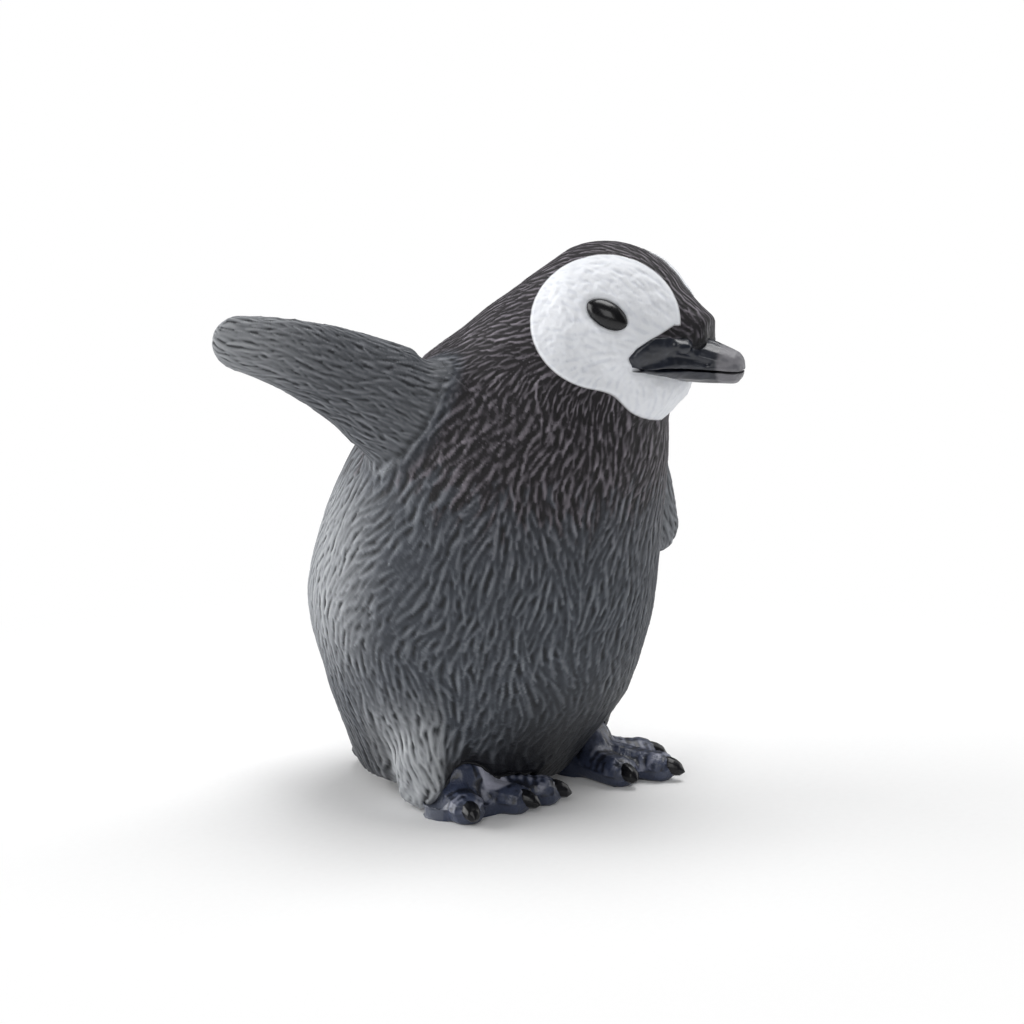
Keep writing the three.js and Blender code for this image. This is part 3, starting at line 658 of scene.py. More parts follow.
def halved(points, normals, triangles):
    """Each triangle cut into four."""
    edges = edges_of(triangles)
    number = {(a, b): i + len(points) for i, (a, b) in enumerate(edges.tolist())}
    sides = np.sort(sides_of(triangles), axis=1).tolist()
    ab, bc, ca = np.array([number[a, b] for a, b in sides]).reshape(3, -1)
    a, b, c = triangles.T
    cut = [(a, ab, ca), (ab, b, bc), (ca, bc, c), (ab, bc, ca)]
    points = np.concatenate([points, points[edges].mean(1)])
    normals = unit(np.concatenate([normals, normals[edges].mean(1)]))
    return points, normals, np.concatenate([np.stack(four, 1) for four in cut])


def rims_of(triangles):
    """Directed edges that only one triangle uses."""
    edges = sides_of(triangles)
    low, high = np.sort(edges, axis=1).T
    code = low.astype(np.int64) * (triangles.max() + 1) + high
    _, where, count = np.unique(code, return_inverse=True, return_counts=True)
    return edges[count[where] == 1]


def rim_gap(points, triangles):
    """How far each point is from the nearest open rim."""
    search = search_of(points[np.unique(rims_of(triangles))])
    return np.array([search.find(point)[2] for point in points])


print("triangles after halving one:", len(halved(np.eye(3), np.eye(3), ONE_TRIANGLE)[2]))

# %% Close open rims
def quads(a, b, c, d):
    """Two triangles for each four corners."""
    return np.concatenate([np.stack([a, b, c], 1), np.stack([a, c, d], 1)])


def closed(points, normals, triangles, depth=0.8):
    """The surface with each open rim turned inwards and closed by a fan."""
    rims = rims_of(triangles)
    if not len(rims):
        return points, triangles
    rim_points = np.unique(rims)
    inner = np.full(len(points), -1)
    inner[rim_points] = len(points) + np.arange(len(rim_points))
    a, b = rims.T
    walls = quads(b, a, inner[a], inner[b])
    points = np.concatenate([points, points[rim_points] - normals[rim_points] * depth])
    home = islands(rims, len(inner))
    fans = []
    for loop in np.unique(home[rim_points]):
        members = inner[rim_points[home[rim_points] == loop]]
        middle = len(points)
        points = np.concatenate([points, points[members].mean(0, keepdims=True)])
        mine = home[a] == loop
        fans.append(np.stack([inner[b[mine]], inner[a[mine]], np.full(mine.sum(), middle)], 1))
    return points, np.concatenate([triangles, walls, *fans])


print("triangles after closing one:", len(closed(np.eye(3), np.eye(3), ONE_TRIANGLE)[1]))

# %% Turn arrays into a piece
def unwrap(mesh, points, triangles):
    """A map of the piece: every patch that faces one way is laid flat, and the patches are packed in rows."""
    facing = smoothed(normals_of(points, triangles), edges_of(triangles), 10)[triangles].mean(1)
    axis = np.abs(facing).argmax(1)
    way = axis * 2 + (facing[np.arange(len(axis)), axis] > 0)
    sides = np.sort(sides_of(triangles), axis=1)
    order = np.lexsort(sides.T)
    same = (sides[order[1:]] == sides[order[:-1]]).all(1)
    pairs = np.stack([order[1:][same], order[:-1][same]], 1) % len(triangles)
    pairs = pairs[way[pairs[:, 0]] == way[pairs[:, 1]]]
    home = np.unique(islands(pairs, len(triangles)), return_inverse=True)[1]
    u_axis, v_axis = np.array([1, 0, 0])[axis], np.array([2, 2, 1])[axis]
    corners = points[triangles]
    rows = np.arange(len(triangles))
    flat = np.stack([corners[rows, :, u_axis], corners[rows, :, v_axis]], 2)
    low = np.full((home.max() + 1, 2), np.inf)
    high = -low
    for axis in range(2):
        np.minimum.at(low[:, axis], home, flat[:, :, axis].min(1))
        np.maximum.at(high[:, axis], home, flat[:, :, axis].max(1))
    margin = 0.25
    size = high - low + margin
    width = max(np.sqrt(size.prod(1).sum() * 1.15), size[:, 0].max())
    corner, x, y, row = np.zeros_like(low), 0.0, 0.0, 0.0
    for patch in np.argsort(-size[:, 1]):
        if x + size[patch, 0] > width:
            x, y, row = 0.0, y + row, 0.0
        corner[patch] = x, y
        x, row = x + size[patch, 0], max(row, size[patch, 1])
    flat = (flat - low[home][:, None] + corner[home][:, None] + margin / 2) / max(width, y + row)
    layer = mesh.uv_layers.new(name="OFBake")
    layer.data.foreach_set("uv", flat.ravel())


def make_piece(name, points, triangles, paint, node, slot, **attributes):
    """A Blender object from points in mm. It rides on the body, takes the place of its node, which it hides,
    and wears the paint.
    """
    mesh = bpy.data.meshes.new(name)
    mesh.vertices.add(len(points))
    mesh.vertices.foreach_set("co", (points * MM).ravel())
    mesh.loops.add(triangles.size)
    mesh.loops.foreach_set("vertex_index", triangles.astype(np.int32).ravel())
    mesh.polygons.add(len(triangles))
    mesh.polygons.foreach_set("loop_start", np.arange(0, triangles.size, 3, dtype=np.int32))
    mesh.update(calc_edges=True)
    mesh.shade_smooth()
    for attribute, values in attributes.items():
        layer = mesh.attributes.new(attribute, "FLOAT", "POINT")
        full = np.zeros(len(points))
        full[: len(values)] = values
        layer.data.foreach_set("value", full)
    unwrap(mesh, points, triangles)
    mesh.materials.append(paint)
    piece = bpy.data.objects.new(name, mesh)
    bpy.context.collection.objects.link(piece)
    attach(piece, "root")
    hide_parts(node)
    print(name, len(triangles), "triangles")


# %% [markdown]
# ## Paint for the down
# The vinyl is sprayed mid grey, darker and browner over the hood, the neck and the bib, whose lower edge the
# painter left ragged along the strands. Legs, back and flipper tips got a paler grey, which also serves as a
# painted highlight where light from the side and behind catches them. The dark paint of the feet and the beak
# runs on a little over the down, and painted shade darkens the underside of the belly and of the tail. A thin
# dark wash sits in the grooves, deepened there as painted shade, and a lighter grey brushed over the ridges
# is also their painted highlight. Those masks come from the carving: how high a point stands, and which
# strand it is on. The others come from where the point is on the figure. A painted image could hold them too,
# but numbers on the points need no image and stay in step with the strands.

# %% Down paint
def down_paint(name, ridge_gain, groove_gain):
    """Paint for down, with its own strength for the ridges' dry brush and painted highlight, and for the
    grooves' dark coat and painted shade.
    """
    material, start, place, shader = new_paint(name)
    mottle = place.grain(120.0, 4.0)
    speckle = place.grain(1500.0)
    ridge, groove, tone = start.mask("ridge"), start.mask("groove"), start.mask("tone")
    dark, pale, boot = start.mask("dark"), start.mask("pale"), start.mask("boot")
    grey = (tone * 0.55 + mottle * 0.45).tint(colour("2f333a"), colour("444850"))
    # Paler paint, and a painted highlight, on the legs, the lower back and the flipper tips.
    grey = pale.tint(grey, colour("96999d"))
    brown = (tone * 0.5 + mottle * 0.5).tint(colour("100e11"), colour("1f1a20"))
    coat = dark.tint(grey, brown)
    # Dark paint run on round the feet and the beak, and painted shade under the belly and the tail.
    coat = boot.tint(coat, colour("121318"))
    # The grooves get a thin wash deepened as painted shade, and the ridges a dry brush that is also their
    # painted highlight.
    groove_wash_and_shade = dark.tint(colour("1b1d21"), colour("0c0b0b"))
    ridge_brush_and_highlight = dark.tint(pale.tint(colour("8d9299"), colour("ced1d4")), colour("a8a1ab"))
    coat = (groove * groove_gain).tint(coat, groove_wash_and_shade)
    coat = (ridge * (0.3 + 0.4 * tone + 0.3 * mottle) * ridge_gain * (1 - 0.85 * boot)).tint(coat, ridge_brush_and_highlight)
    hairs = start.maths("SINE", start.mask("side") * 18.0) * 0.5 + speckle
    start.feed(shader, {
        "Base Color": coat,
        "Roughness": 0.6 - ridge * 0.08 + speckle * 0.08 - boot * 0.2,
        "Specular IOR Level": 0.35,
        "Normal": hairs.bump(0.35, 0.00006),
    })
    return material


grey_paint = down_paint("grey_down_paint", 1.0, 0.95)
hood_paint = down_paint("dark_down_paint", 1.0, 1.0)
flipper_paint = down_paint("flipper_down_paint", 0.85, 0.8)
print("down paint:", len(grey_paint.node_tree.nodes), "nodes")

# %% Where each paint goes
FLIPPERS = []
for place in BOTH_FLIPPERS:
    axis = flipper_axis(place)
    along = skin[owner == place] @ axis
    FLIPPERS.append((tree_of([DOWN_NODES[place]])[0], axis, along.min(), along.max()))
print("flipper lengths, mm:", [round(float(tip - low), 1) for _, _, low, tip in FLIPPERS])


def on_flipper(points):
    """How near each point is to a flipper, from 1 on it to 0 some way off, and how far out along it."""
    near, out = np.zeros(len(points)), np.zeros(len(points))
    high = np.flatnonzero(points[:, 2] > 28)
    for tree, axis, low, tip in FLIPPERS:
        close = 1 - smoothstep(0.8, 4.5, nearest(tree, points[high])[1])
        closer = close > near[high]
        near[high[closer]] = close[closer]
        out[high[closer]] = ((points[high] @ axis - low) / (tip - low))[closer]
    return near, out


def dark_at(points, tone):
    """1 on the hood, neck and bib, 0 on the grey body and flippers, with a ragged edge along the strands."""
    away = points - AXIS
    reach = np.hypot(away[:, 0], away[:, 1]).clip(1e-6)
    ahead = -away[:, 1] / reach
    edge = 49 - 6 * smoothstep(-0.2, 0.8, ahead) + 11 * (tone - 0.5)
    near, _ = on_flipper(points)
    tinge = 0.4 * smoothstep(30, 44, points[:, 2]) * smoothstep(0.1, 0.8, ahead) * (0.3 + 0.7 * tone)
    hood = np.maximum(smoothstep(-2.5, 2.5, points[:, 2] - edge), tinge)
    return hood * (1 - 0.85 * smoothstep(0.1, 0.9, near + 0.3 * (tone - 0.5)))


def leg_side(points):
    """1 on the outer side of the right leg and foot, left of a line in the photo, else 0."""
    return smoothstep(-9.8, -11.6, points @ np.array(camera_right))


def pale_at(points):
    """1 on the leg down, along the lower back and towards the flippers' tips: paler paint there, and a
    painted highlight where light from the side and behind catches them.
    """
    height = points[:, 2]
    to_left, to_back, _ = (points - AXIS).T
    behind = smoothstep(-2, 13, to_back) - 0.4 * smoothstep(13, 21, to_back)
    behind *= smoothstep(13, 29, height) * (1 - smoothstep(36, 54, height))
    near, out = on_flipper(points)
    tips = smoothstep(0.9, 1, near) * (0.25 + 0.75 * smoothstep(0.45, 1, out)) * np.where(to_left > 0, 0.4, 1)
    outer = np.maximum(smoothstep(-9, 0, to_back), leg_side(points))
    legs = (1 - smoothstep(6, 20, height)) * outer * (1 - 0.95 * smoothstep(2, 10, to_back))
    return np.clip(legs + 0.9 * behind * (1 - near) + tips, 0, 1)


foot_tree, _ = tree_of(["foot_right", "foot_left"])


def boot_at(points):
    """1 where dark paint runs on over the down round the feet and the beak, and painted shade under the belly
    and the tail.
    """
    boot = np.zeros(len(points))
    height = points[:, 2]
    to_left, to_back, _ = (points - AXIS).T
    low = np.flatnonzero((height < 14) & (to_back < -1))
    if len(low):
        gap = nearest(foot_tree, points[low])[1]
        ragged = gap + 1.6 * lumps(points[low], 1.6)
        boot[low] = (1 - smoothstep(1.6, 3.6, ragged)) * (1 - leg_side(points[low]))
    # Painted shade under the belly between the legs, and under the tail.
    belly = (1 - smoothstep(7, 23, height)) * smoothstep(2, 12, -to_back)
    boot = np.maximum(boot, 0.95 * belly * (1 - smoothstep(12, 20, np.abs(to_left - 2))))
    tail = (1 - smoothstep(3, 17, height)) * smoothstep(1.5, 5, to_back)
    boot = np.maximum(boot, 0.6 * tail)
    high = np.flatnonzero(height > 55)
    if len(high):
        boot[high] = 0.9 * (1 - smoothstep(0.5, 4, nearest(beak_tree, points[high])[1]))
    return boot


# %% Make torso, head and flippers
PIECES = {
    "torso": ("torso_down", grey_paint, "grey_down"),
    "head": ("hood_down", hood_paint, "dark_down"),
    "flipper_right": ("flipper_right_down", flipper_paint, "flipper_down"),
    "flipper_left": ("flipper_left_down", flipper_paint, "flipper_down"),
}
triangle_owner = np.median(owner[skin_triangles], axis=1).astype(int)
smooth_parts = {}
for place, node in enumerate(DOWN_NODES):
    chosen = skin_triangles[triangle_owner == place]
    columns = np.concatenate([skin_relief, strand_height[:, None]], 1)[np.unique(chosen)]
    part = part_of(skin, skin_normals, chosen)
    if node != "torso":
        columns = np.concatenate([columns, columns[edges_of(part[2])].mean(1)])
        part = halved(*part)
        fine = relief(part[0], part[1], edges_of(part[2]), columns[:, 4], 2)
        inside = smoothstep(0.3, 2, rim_gap(part[0], part[2]))[:, None]
        columns = fine * inside + columns[:, :4] * (1 - inside)
    smooth_parts[node] = part
    points, normals, triangles = part
    lift, rise, tone, side = columns[:, :4].T
    name, paint, slot = PIECES[node]
    solid, faces = closed(points + normals * lift[:, None], normals, triangles)
    make_piece(
        name, solid, faces, paint, node, slot,
        ridge=np.clip(rise, 0, 1), groove=np.clip(-rise, 0, 1),
        tone=tone, side=side, dark=dark_at(points, tone), pale=pale_at(points), boot=boot_at(points),
    )
    if node == "head":
        hood_ridges = lift + GROOVE_DEPTH

# %% [markdown]
# ## White mask
# The cheeks and the chin stand out as one white patch with a clean edge. On the figure it is a low step in
# the sculpt. Here the patch is cut out of the finely cut head skin: points near the outline are moved onto
# it, so the edge is smooth, the inside is lifted by a quarter of a millimetre, and the result gets a back of
# its own. The comb strokes of the hood run on over it, only softer, and a lid is modelled round each eye.

# %% Outlines on the face
CHEEK = (-0.2, 0.75, 10.1, 9.2)
CHIN = (6.6, -8.5, 5.1, 3.7)
GAPE = [
    (3.0, -4.2), (4.1, -2.9), (5.6, -1.9), (7.4, -0.75), (9.0, 0.3), (10.4, 0.3), (13.0, -1.6),
    (13.0, -6.9), (10.2, -6.9), (9.3, -6.6), (7.0, -6.1), (5.1, -5.7), (3.4, -5.0),
]
MOUTH = (4.7, -4.68)


def on_face(points):
    """Places on the right side of the face as the camera sees it, across and up. The left is mirrored."""
    forward, left, up = in_head(points)
    outward = -np.abs(left)
    frame_axes = HEAD_FORWARD, HEAD_LEFT, np.array([0, 0, 1])
    across, above = (
        sum(part * (np.array(way) @ axis) for part, axis in zip((forward, outward, up), frame_axes))
        for way in (camera_right, camera_up)
    )
    return across, above


def off_oval(across, above, oval):
    """Roughly the distance in mm outside an oval, below 0 inside it."""
    right, top, half_width, half_height = oval
    reach = np.hypot((across - right) / half_width, (above - top) / half_height)
    return (reach - 1) * min(half_width, half_height)


def near_line(places, first, last):
    """The distance of each place from a straight line between two others."""
    along = np.subtract(last, first)
    off = places - np.array(first)
    share = np.clip(off @ along / (along @ along), 0, 1)
    return np.linalg.norm(off - share[:, None] * along, axis=1)


def off_gape(across, above):
    """The distance outside the black patch at the beak's root, below 0 on it."""
    away = np.full(len(across), np.inf)
    inside = np.zeros(len(across), bool)
    for first, last in zip(GAPE, GAPE[1:] + GAPE[:1]):
        away = np.minimum(away, near_line(np.stack([across, above], 1), first, last))
        crosses = (first[1] > above) != (last[1] > above)
        run, rise = np.subtract(last, first)
        inside ^= crosses & (across < first[0] + (above - first[1]) / (rise or 1e-9) * run)
    return np.where(inside, -away, away)


def off_mask(points):
    """Roughly the distance in mm outside the mask, below 0 on it."""
    across, above = on_face(points)
    far_side = smoothstep(2, 6, in_head(points)[1])
    cheek, chin = off_oval(across + 0.8 * far_side, above, CHEEK), off_oval(across, above, CHIN)
    soft = 2.6
    blend = np.clip(0.5 + 0.5 * (chin - cheek) / soft, 0, 1)
    both = chin * (1 - blend) + cheek * blend - soft * blend * (1 - blend)
    return np.maximum(both, -off_gape(across, above))


print("from the skull's middle to the mask's edge, mm:", off_mask(HEAD_CENTRE[None]).round(1))

# %% Outlines beside the beak
def beside_beak(points):
    """Below 0 only on the sides of the beak's root, not over its top."""
    return 3.6 - np.abs(in_head(points)[1])


def off_upper_gape(points):
    across, above = on_face(points)
    top = above + 1.1 - 0.08 * (across - 8)
    mouth = np.minimum(MOUTH[1] + 0.06 - above, across - MOUTH[0])
    off = np.maximum(off_gape(across, above) - 0.25, np.maximum(mouth, top))
    return np.maximum(off, beside_beak(points))


def off_lower_gape(points):
    across, above = on_face(points)
    mouth = np.maximum(above - MOUTH[1] + 0.06, MOUTH[0] + 0.12 - across)
    return np.maximum(np.maximum(off_gape(across, above) - 0.25, mouth), beside_beak(points))


print("the corners of the mouth are at", MOUTH, "mm across and up")

# %% Cut a patch out of the skin
def onto_edge(points, outline):
    """Points close to an outline, moved onto it."""
    off = outline(points)
    step = 0.02
    slope = np.stack([(outline(points + step * np.eye(3)[axis]) - off) / step for axis in range(3)], 1)
    steep = (slope**2).sum(1, keepdims=True).clip(0.2)
    close = np.abs(off) < 0.13
    return np.where(close[:, None], points - off[:, None] * slope / steep, points)


def patch(points, normals, triangles, outline, lift_at, depth=0.7):
    """The surface inside an outline, lifted and given a back, and the numbers of the points it used."""
    points = onto_edge(points, outline)
    off = outline(points)
    chosen = triangles[off[triangles].mean(1) < 0]
    used = np.unique(chosen)
    lift = np.zeros(len(points))
    lift[used] = lift_at(points[used], normals[used], off[used], used)
    top, top_normals, faces = part_of(points + normals * lift[:, None], normals, chosen)
    under = points[used] - top_normals * depth
    a, b = rims_of(faces).T
    count = len(top)
    walls = quads(b, a, a + count, b + count)
    shell = np.concatenate([faces, faces[:, ::-1] + count, walls])
    return np.concatenate([top, under]), shell, used, off[used]


head_skin = smooth_parts["head"]
print("points of the head to cut from:", len(head_skin[0]))

# %% Eye places
SKULL_FORWARD, SKULL_SIDE, SKULL_UP = 12.8, 12.2, 12.4
EYE_TILT = math.radians(24)
EYE_AHEAD, EYE_HALF_LENGTH, EYE_HALF_HEIGHT, EYE_DEPTH = 0.3, 3.1, 1.8, 1.42


def eye_frame(node):
    """Middle of an eye, its long axis, its short axis and the way it looks, in mm."""
    low, high = (np.array(corner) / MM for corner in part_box(node))
    middle = (low + high) / 2
    forward, left, up = in_head(middle[None])
    look = HEAD_FORWARD * forward / SKULL_FORWARD**2 + HEAD_LEFT * left / SKULL_SIDE**2
    look[2] += up[0] / SKULL_UP**2
    look = unit(look)
    ahead = unit(HEAD_FORWARD - look * (look @ HEAD_FORWARD))
    above = np.array([0, 0, 1]) - look * look[2]
    above = unit(above - ahead * (ahead @ above))
    long = ahead * math.cos(EYE_TILT) - above * math.sin(EYE_TILT)
    short = above * math.cos(EYE_TILT) + ahead * math.sin(EYE_TILT)
    return middle, long, short, look


EYES = {node: eye_frame(node) for node in ("eye_right", "eye_left")}
print("eyes look along:", {node: EYES[node][3].round(2).tolist() for node in EYES})

# %% White paint
white_paint, start, place, shader = new_paint("white_down_paint")
mottle = place.grain(260.0, 4.0)
speckle = place.grain(2400.0)
coat = mottle.tint(colour("e4e7ed"), colour("eef0f4"))
# Painted shade in the grooves and a painted highlight on the ridges of the strokes, and painted shade along
# the edge, where the mask steps up from the hood.
coat = (start.mask("groove") * 0.25).tint(coat, colour("b9becb"))
coat = (start.mask("ridge") * 0.4).tint(coat, colour("f0f2f5"))
coat = (start.mask("rim") * 0.8).tint(coat, colour("5a5658"))
start.feed(shader, {
    "Base Color": coat,
    "Roughness": 0.5 + 0.12 * mottle,
    "Normal": speckle.bump(0.25, 0.00005),
})
print("white paint:", len(white_paint.node_tree.nodes), "nodes")

# %% Make the mask
def mask_lift(points, normals, off, used):
    """How far the mask stands out: its step, combed and lumpy surface and lids, less towards the beak."""
    lift = 0.26 * smoothstep(0, 0.5, -off) + 0.9 * (soft_ridges[used] - 0.1)
    lumpy = lumps(points, 1.5) + 0.5 * lumps(points, 0.7)
    lift += 0.16 * (lumpy - 0.3) * smoothstep(0.3, 1.5, -off)
    for middle, long, short, look in EYES.values():
        apart = points - middle
        wide, tall = apart @ long - EYE_AHEAD, apart @ short
        ring = np.hypot(wide / EYE_HALF_LENGTH, tall / (EYE_HALF_HEIGHT + 0.05))
        facing = normals @ look > 0.5
        lift += np.where(facing, 0.12 * np.exp(-(((ring - 1.28) / 0.2) ** 2)), 0)
        lift -= np.where(facing, 0.5 * (1 - smoothstep(0.8, 1.05, ring)), 0)
    gap = nearest(beak_tree, points)[1]
    lift = np.where(in_head(points)[1] > 4, lift - 0.15, lift)
    return lift * smoothstep(0.1, 1.2, gap) - 0.12 * (1 - smoothstep(0, 0.5, gap))


def standing(values, edges, rounds):
    """How each place stands among its neighbours: near 1 on a usual ridge and near -1 in a usual groove."""
    above = values - smoothed(values[:, None], edges, rounds)[:, 0]
    return above / np.percentile(np.abs(above), 92)


head_edges = edges_of(head_skin[2])
soft_ridges = smoothed(hood_ridges[:, None], head_edges, 5)[:, 0]
solid, faces, used, off = patch(*head_skin, off_mask, mask_lift)
rise = standing(soft_ridges, head_edges, 40)[used]
make_piece(
    "white_mask", solid, faces, white_paint, "face_mask", "white_down",
    ridge=np.clip(rise, 0, 1), groove=np.clip(-rise, 0, 1), rim=1 - smoothstep(0.02, 0.22, -off),
)

# %% [markdown]
# ## Eyes
# Each eye is a glossy black bead, almond shaped, with its front corner low. A squashed sphere would be a
# plain oval. So a flattened dome is laid out in rings round the eye's own axes, narrowed towards both
# corners, and closed at the back.

# %% Eye paint and beads
def gloss_paint(name, under, over, rough, coat):
    """A glossy dark paint with a faint cloudiness and brush marks."""
    material, start, place, shader = new_paint(name)
    cloud = place.grain(700.0, 3.0)
    start.feed(shader, {
        "Base Color": cloud.tint(colour(under), colour(over)),
        "Roughness": rough + 0.15 * cloud,
        "Specular IOR Level": 0.3,
        "Coat Weight": coat,
        "Coat Roughness": 0.12,
        "Normal": cloud.bump(0.25, 0.00006),
    })
    return material


eye_paint = gloss_paint("eye_gloss_paint", "050507", "101014", 0.2, 0.3)
for node, (middle, long, short, look) in EYES.items():
    rings, around = 14, 48
    angle = np.arange(around) / around * 2 * np.pi
    bead = [middle + look * EYE_DEPTH]
    for ring in range(1, rings + 1):
        share = ring / rings * 1.25
        quarter = min(share, 1) * np.pi / 2
        out, deep = np.sin(quarter), np.cos(quarter) - 2 * max(share - 1, 0)
        wide = EYE_AHEAD + EYE_HALF_LENGTH * out * np.cos(angle)
        tall = EYE_HALF_HEIGHT * out * np.sin(angle) * np.abs(np.sin(angle)) ** 0.15
        bead += list(middle + np.outer(wide, long) + np.outer(tall, short) + look * EYE_DEPTH * deep)
    bead.append(middle - look * 0.7)
    bead = np.array(bead)
    step = np.arange(around)
    after = (step + 1) % around
    turn_out = np.cross(long, short) @ look > 0
    faces = [np.stack([0 * step, 1 + step, 1 + after], 1)]
    for ring in range(rings - 1):
        low, high = 1 + ring * around, 1 + (ring + 1) * around
        faces.append(quads(low + step, high + step, high + after, low + after))
    last = 1 + (rings - 1) * around
    faces.append(np.stack([last + step, 0 * step + len(bead) - 1, last + after], 1))
    faces = np.concatenate(faces)
    make_piece(node + "_bead", bead, faces if turn_out else faces[:, ::-1], eye_paint, node, "black_gloss")

# %% [markdown]
# ## Beak
# The beak is two glossy black halves with a thin mouth line between them, and a worn grey tip. The halves are
# melted finely from their CAD nodes, so their edges come out rounded as a mould leaves them. A nostril groove
# is pressed into each side, and the corners of the gape are brought out over the white cheeks. The corner
# where the beak widens at its root is smoothed further.

# %% Beak paint
beak_paint, start, place, shader = new_paint("beak_gloss_paint")
along_head = {0: place, 1: Vector(HEAD_FORWARD)}
ahead = start.node("ShaderNodeVectorMath", {"operation": "DOT_PRODUCT"}, along_head, 1)
ahead = ahead - float(HEAD_CENTRE @ HEAD_FORWARD) * MM
cloud = place.grain(500.0, 4.0)
tip = (ahead + (cloud - 0.5) * 0.0012).step(0.0165, 0.0172)
black = cloud.tint(colour("0b0e16"), colour("1c2231"))
worn = cloud.tint(colour("5a595e"), colour("8a898e"))
coat = tip.tint(black, worn)
coat = (start.mask("ridge") * (0.15 + 0.4 * cloud)).tint(coat, colour("3d4048"))
start.feed(shader, {
    "Base Color": coat,
    "Roughness": 0.24 + 0.16 * cloud + 0.14 * tip,
    "Coat Weight": 0.3 - 0.2 * tip,
    "Coat Roughness": 0.2,
    "Normal": place.grain(2200.0).bump(0.3, 0.00006),
})
print("beak paint:", len(beak_paint.node_tree.nodes), "nodes")

# %% Beak halves
def gape_lift(points, normals, off, used):
    """The corner of the gape stands out on the cheek, and sinks into the beak towards its root."""
    out = smoothstep(4.2, 7.4, np.abs(in_head(points)[1]))
    return (0.1 + 0.4 * smoothstep(0, 0.45, -off)) * out - 0.4 * (1 - out)


BEAK_SWELL, GAPE_SWELL, BEAK_VOXEL = 0.24, 0.2, 0.13
BEAK_SHOULDER = 12.9, 3.8, -0.4
NOSTRIL = (12.4, -1.9), (15.8, -3.0)
for node in ("upper_beak", "lower_beak"):
    outline = off_upper_gape if node == "upper_beak" else off_lower_gape
    shell, shell_faces, _, _ = patch(*head_skin, outline, gape_lift, 1.0)
    shell = shell + normals_of(shell, shell_faces) * GAPE_SWELL
    points, triangles = melt({node: BEAK_SWELL}, BEAK_VOXEL, (shell, shell_faces))
    points = shrunk(points, triangles, GAPE_SWELL, 2)
    forward, left, up = in_head(points)
    points = smoothed(points, edges_of(triangles), 26, 0.5 * (1 - smoothstep(12, 14, forward)))
    from_shoulder = np.linalg.norm(np.stack([forward, np.abs(left), up], 1) - BEAK_SHOULDER, axis=1)
    points = eased(points, triangles, 1 - smoothstep(1.2, 2.6, from_shoulder), 240)
    points = smoothed(points, edges_of(triangles), 5)
    normals = normals_of(points, triangles)
    forward, left, up = in_head(points)
    push = np.zeros(len(points))
    if node == "upper_beak":
        groove = np.exp(-((near_line(np.stack([forward, up], 1), *NOSTRIL) / 0.38) ** 2))
        push -= 0.26 * groove * smoothstep(0.8, 1.8, np.abs(left))
        push += 0.14 * np.exp(-((left / 0.7) ** 2)) * smoothstep(0.5, 1, normals[:, 2])
    strokes = lumps(np.stack([forward / 3, left * 1.6, up * 1.6], 1), 1)
    push += 0.05 * strokes
    carved = points + normals * push[:, None]
    make_piece(
        node + "_gloss", carved, triangles, beak_paint, node, "beak",
        ridge=smoothstep(0.1, 0.5, strokes),
    )

# %% [markdown]
# ## Feet
# Three webbed toes spread from each ankle. The sculptor cut knuckles and cross folds into them, and the
# painter wiped the wet blue-black paint off the high places, which shine through in a lilac grey. The CAD
# foot is melted, which also fills the corners beside the toes, and the folds follow each toe's own line. The
# outer back end of the right foot, under the hem of the leg, is a plainer grey.

# %% Foot paint
foot_paint, start, place, shader = new_paint("foot_skin_paint")
cloud = place.grain(330.0, 3.0)
blotch = place.grain(260.0)
cells = {"Vector": place, "Scale": 1500.0}
scales = start.node("ShaderNodeTexVoronoi", {"feature": "DISTANCE_TO_EDGE"}, cells)
coat = cloud.tint(colour("252b3d"), colour("475069"))
# The folds are painted darker still, as painted shade.
coat = (start.mask("groove") * 0.8).tint(coat, colour("0c0c11"))
wiped = start.mask("ridge") * blotch.step(0.46, 0.6) * 0.45
wiped = wiped.maths("MAXIMUM", wiped, (start.mask("bare") + (blotch - 0.5) * 0.5).step(0.3, 0.5))
coat = (wiped * 0.95).tint(coat, colour("b0b2c2"))
coat = (start.mask("heel") + (blotch - 0.5) * 0.6).step(0.35, 0.65).tint(coat, colour("565b69"))
start.feed(shader, {
    "Base Color": coat,
    "Roughness": 0.3 + 0.15 * cloud + 0.15 * wiped,
    "Coat Weight": 0.25 - 0.15 * wiped,
    "Coat Roughness": 0.25,
    "Normal": scales.step(0.0, 0.25).bump(0.3, 0.00008),
})
print("foot paint:", len(foot_paint.node_tree.nodes), "nodes")

# %% Feet
ANKLES = {"right": (-1, 13, 3.3, -1), "left": (1, 12, 6.8, 16)}
TOES = {
    "right": {"inner": (-38, 13.7), "middle": (-13, 10.2), "outer": (38, 9.4)},
    "left": {"inner": (-30, 10.6), "middle": (-2, 13.6), "outer": (34, 10.8)},
}
FOOT_SWELL, CLAW_SWELL, FOOT_VOXEL = 0.6, 0.4, 0.19


def hump(travel, middle, width):
    """A round rise across a toe."""
    return np.exp(-(((travel - middle) / width) ** 2))


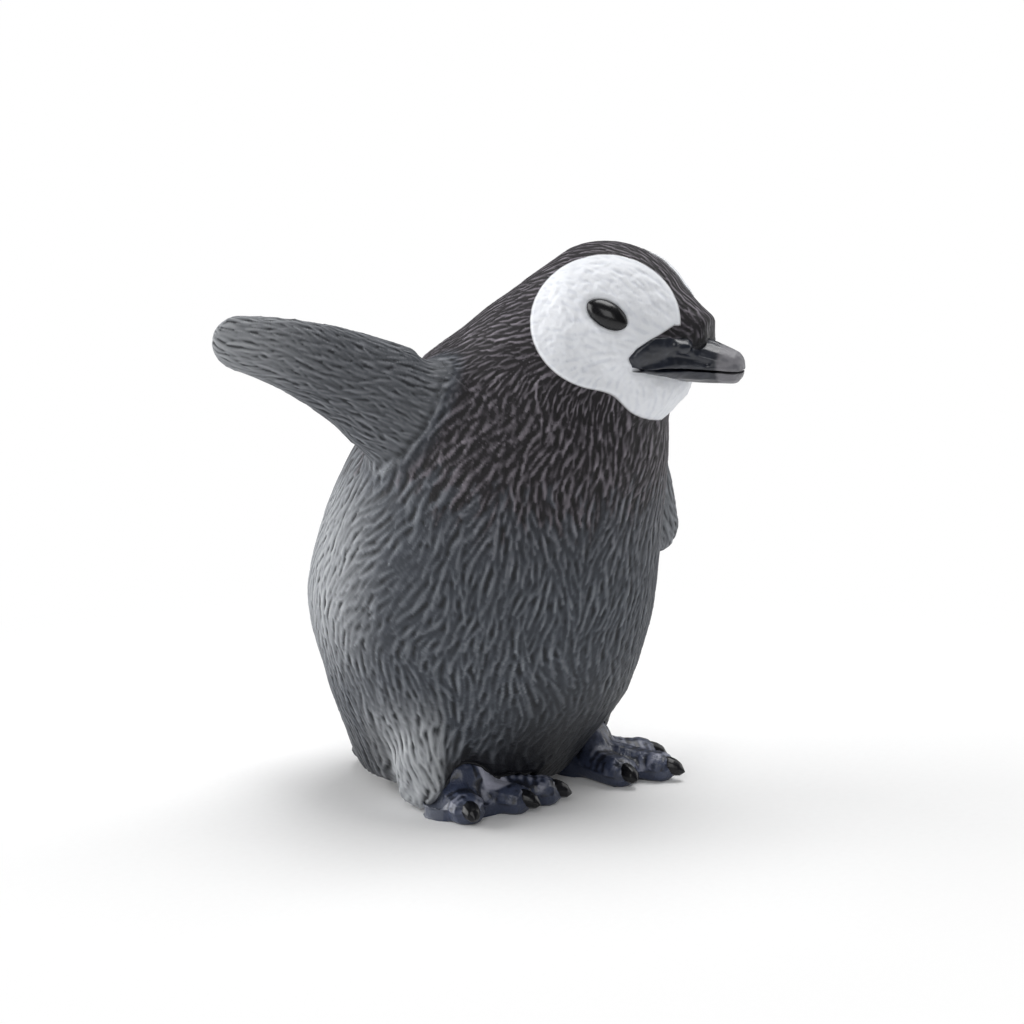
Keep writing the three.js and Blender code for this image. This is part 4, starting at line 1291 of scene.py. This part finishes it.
for foot_side, (side, spread, forward, toe_out) in ANKLES.items():
    node = "foot_" + foot_side
    claws = {f"claw_{foot_side}_{toe}": CLAW_SWELL for toe in TOES[foot_side]}
    points, triangles = melt({node: FOOT_SWELL, **claws}, FOOT_VOXEL)
    points = shrunk(points, triangles, FOOT_SWELL, 2)
    edges = edges_of(triangles)
    points = smoothed(points, edges, 8)
    normals = normals_of(points, triangles)
    ankle = AXIS + [side * spread, -forward, 0]
    folds = np.zeros(len(points))
    taken = np.full(len(points), FAR)
    bare = np.zeros(len(points))
    for toe, (fan, length) in TOES[foot_side].items():
        angle = math.radians(fan + toe_out)
        along = np.array([side * math.sin(angle), -math.cos(angle), 0])
        off = points - ankle
        travel = off @ along
        aside = np.abs(off @ np.array([-along[1], along[0], 0]))
        aside = np.where(travel > 0, aside, FAR)
        closer = aside < taken
        taken = np.where(closer, aside, taken)
        knuckle = hump(travel, 0.55 * length, 1.3) + hump(travel, 0.98 * length, 1.2)
        wrinkle = np.sin(travel * 2 * np.pi / 1.25 + 0.8 * np.sin(aside))
        wrinkle = wrinkle * smoothstep(3.5, 5.5, travel) * (1 - smoothstep(length, length + 1.2, travel))
        folds = np.where(closer, 0.2 * knuckle + 0.018 * wrinkle, folds)
        if (foot_side, toe) == ("right", "middle"):
            bare = hump(travel, 6.8, 2.6) * hump(aside, 0, 2.2)
    topside = smoothstep(-0.1, 0.5, normals[:, 2])
    rough = lumps(points, 2.1) + 0.35 * lumps(points, 0.8)
    push = (folds * (1 - smoothstep(1.6, 3.2, taken)) + 0.16 * rough) * topside
    carved = points + normals * push[:, None]
    carved[:, 2] = np.maximum(carved[:, 2], 0)
    rise = standing(push, edges, 20)
    make_piece(
        node + "_skin", carved, triangles, foot_paint, node, "foot_skin",
        ridge=np.clip(0.15 * topside + rise, 0, 1) * topside, groove=np.clip(-rise, 0, 1),
        bare=bare * topside, heel=leg_side(carved),
    )

# %% [markdown]
# ## Claws
# A short curved claw ends each toe, painted a glossy black like the eyes. A bevel could round the edges of
# the CAD claw, but melting it finely treats all of them alike, as a worn mould does.

# %% Claws
TIP_SWELL, TIP_SHRINK, TIP_VOXEL = 0.2, 0.12, 0.11
claw_paint = gloss_paint("claw_gloss_paint", "07070a", "14151b", 0.22, 0.15)
for foot_side in TOES:
    for toe in TOES[foot_side]:
        node = f"claw_{foot_side}_{toe}"
        points, triangles = melt({node: TIP_SWELL}, TIP_VOXEL)
        points = shrunk(points, triangles, TIP_SHRINK, 2)
        points = smoothed(points, edges_of(triangles), 4)
        make_piece(node + "_tip", points, triangles, claw_paint, node, "black_gloss")
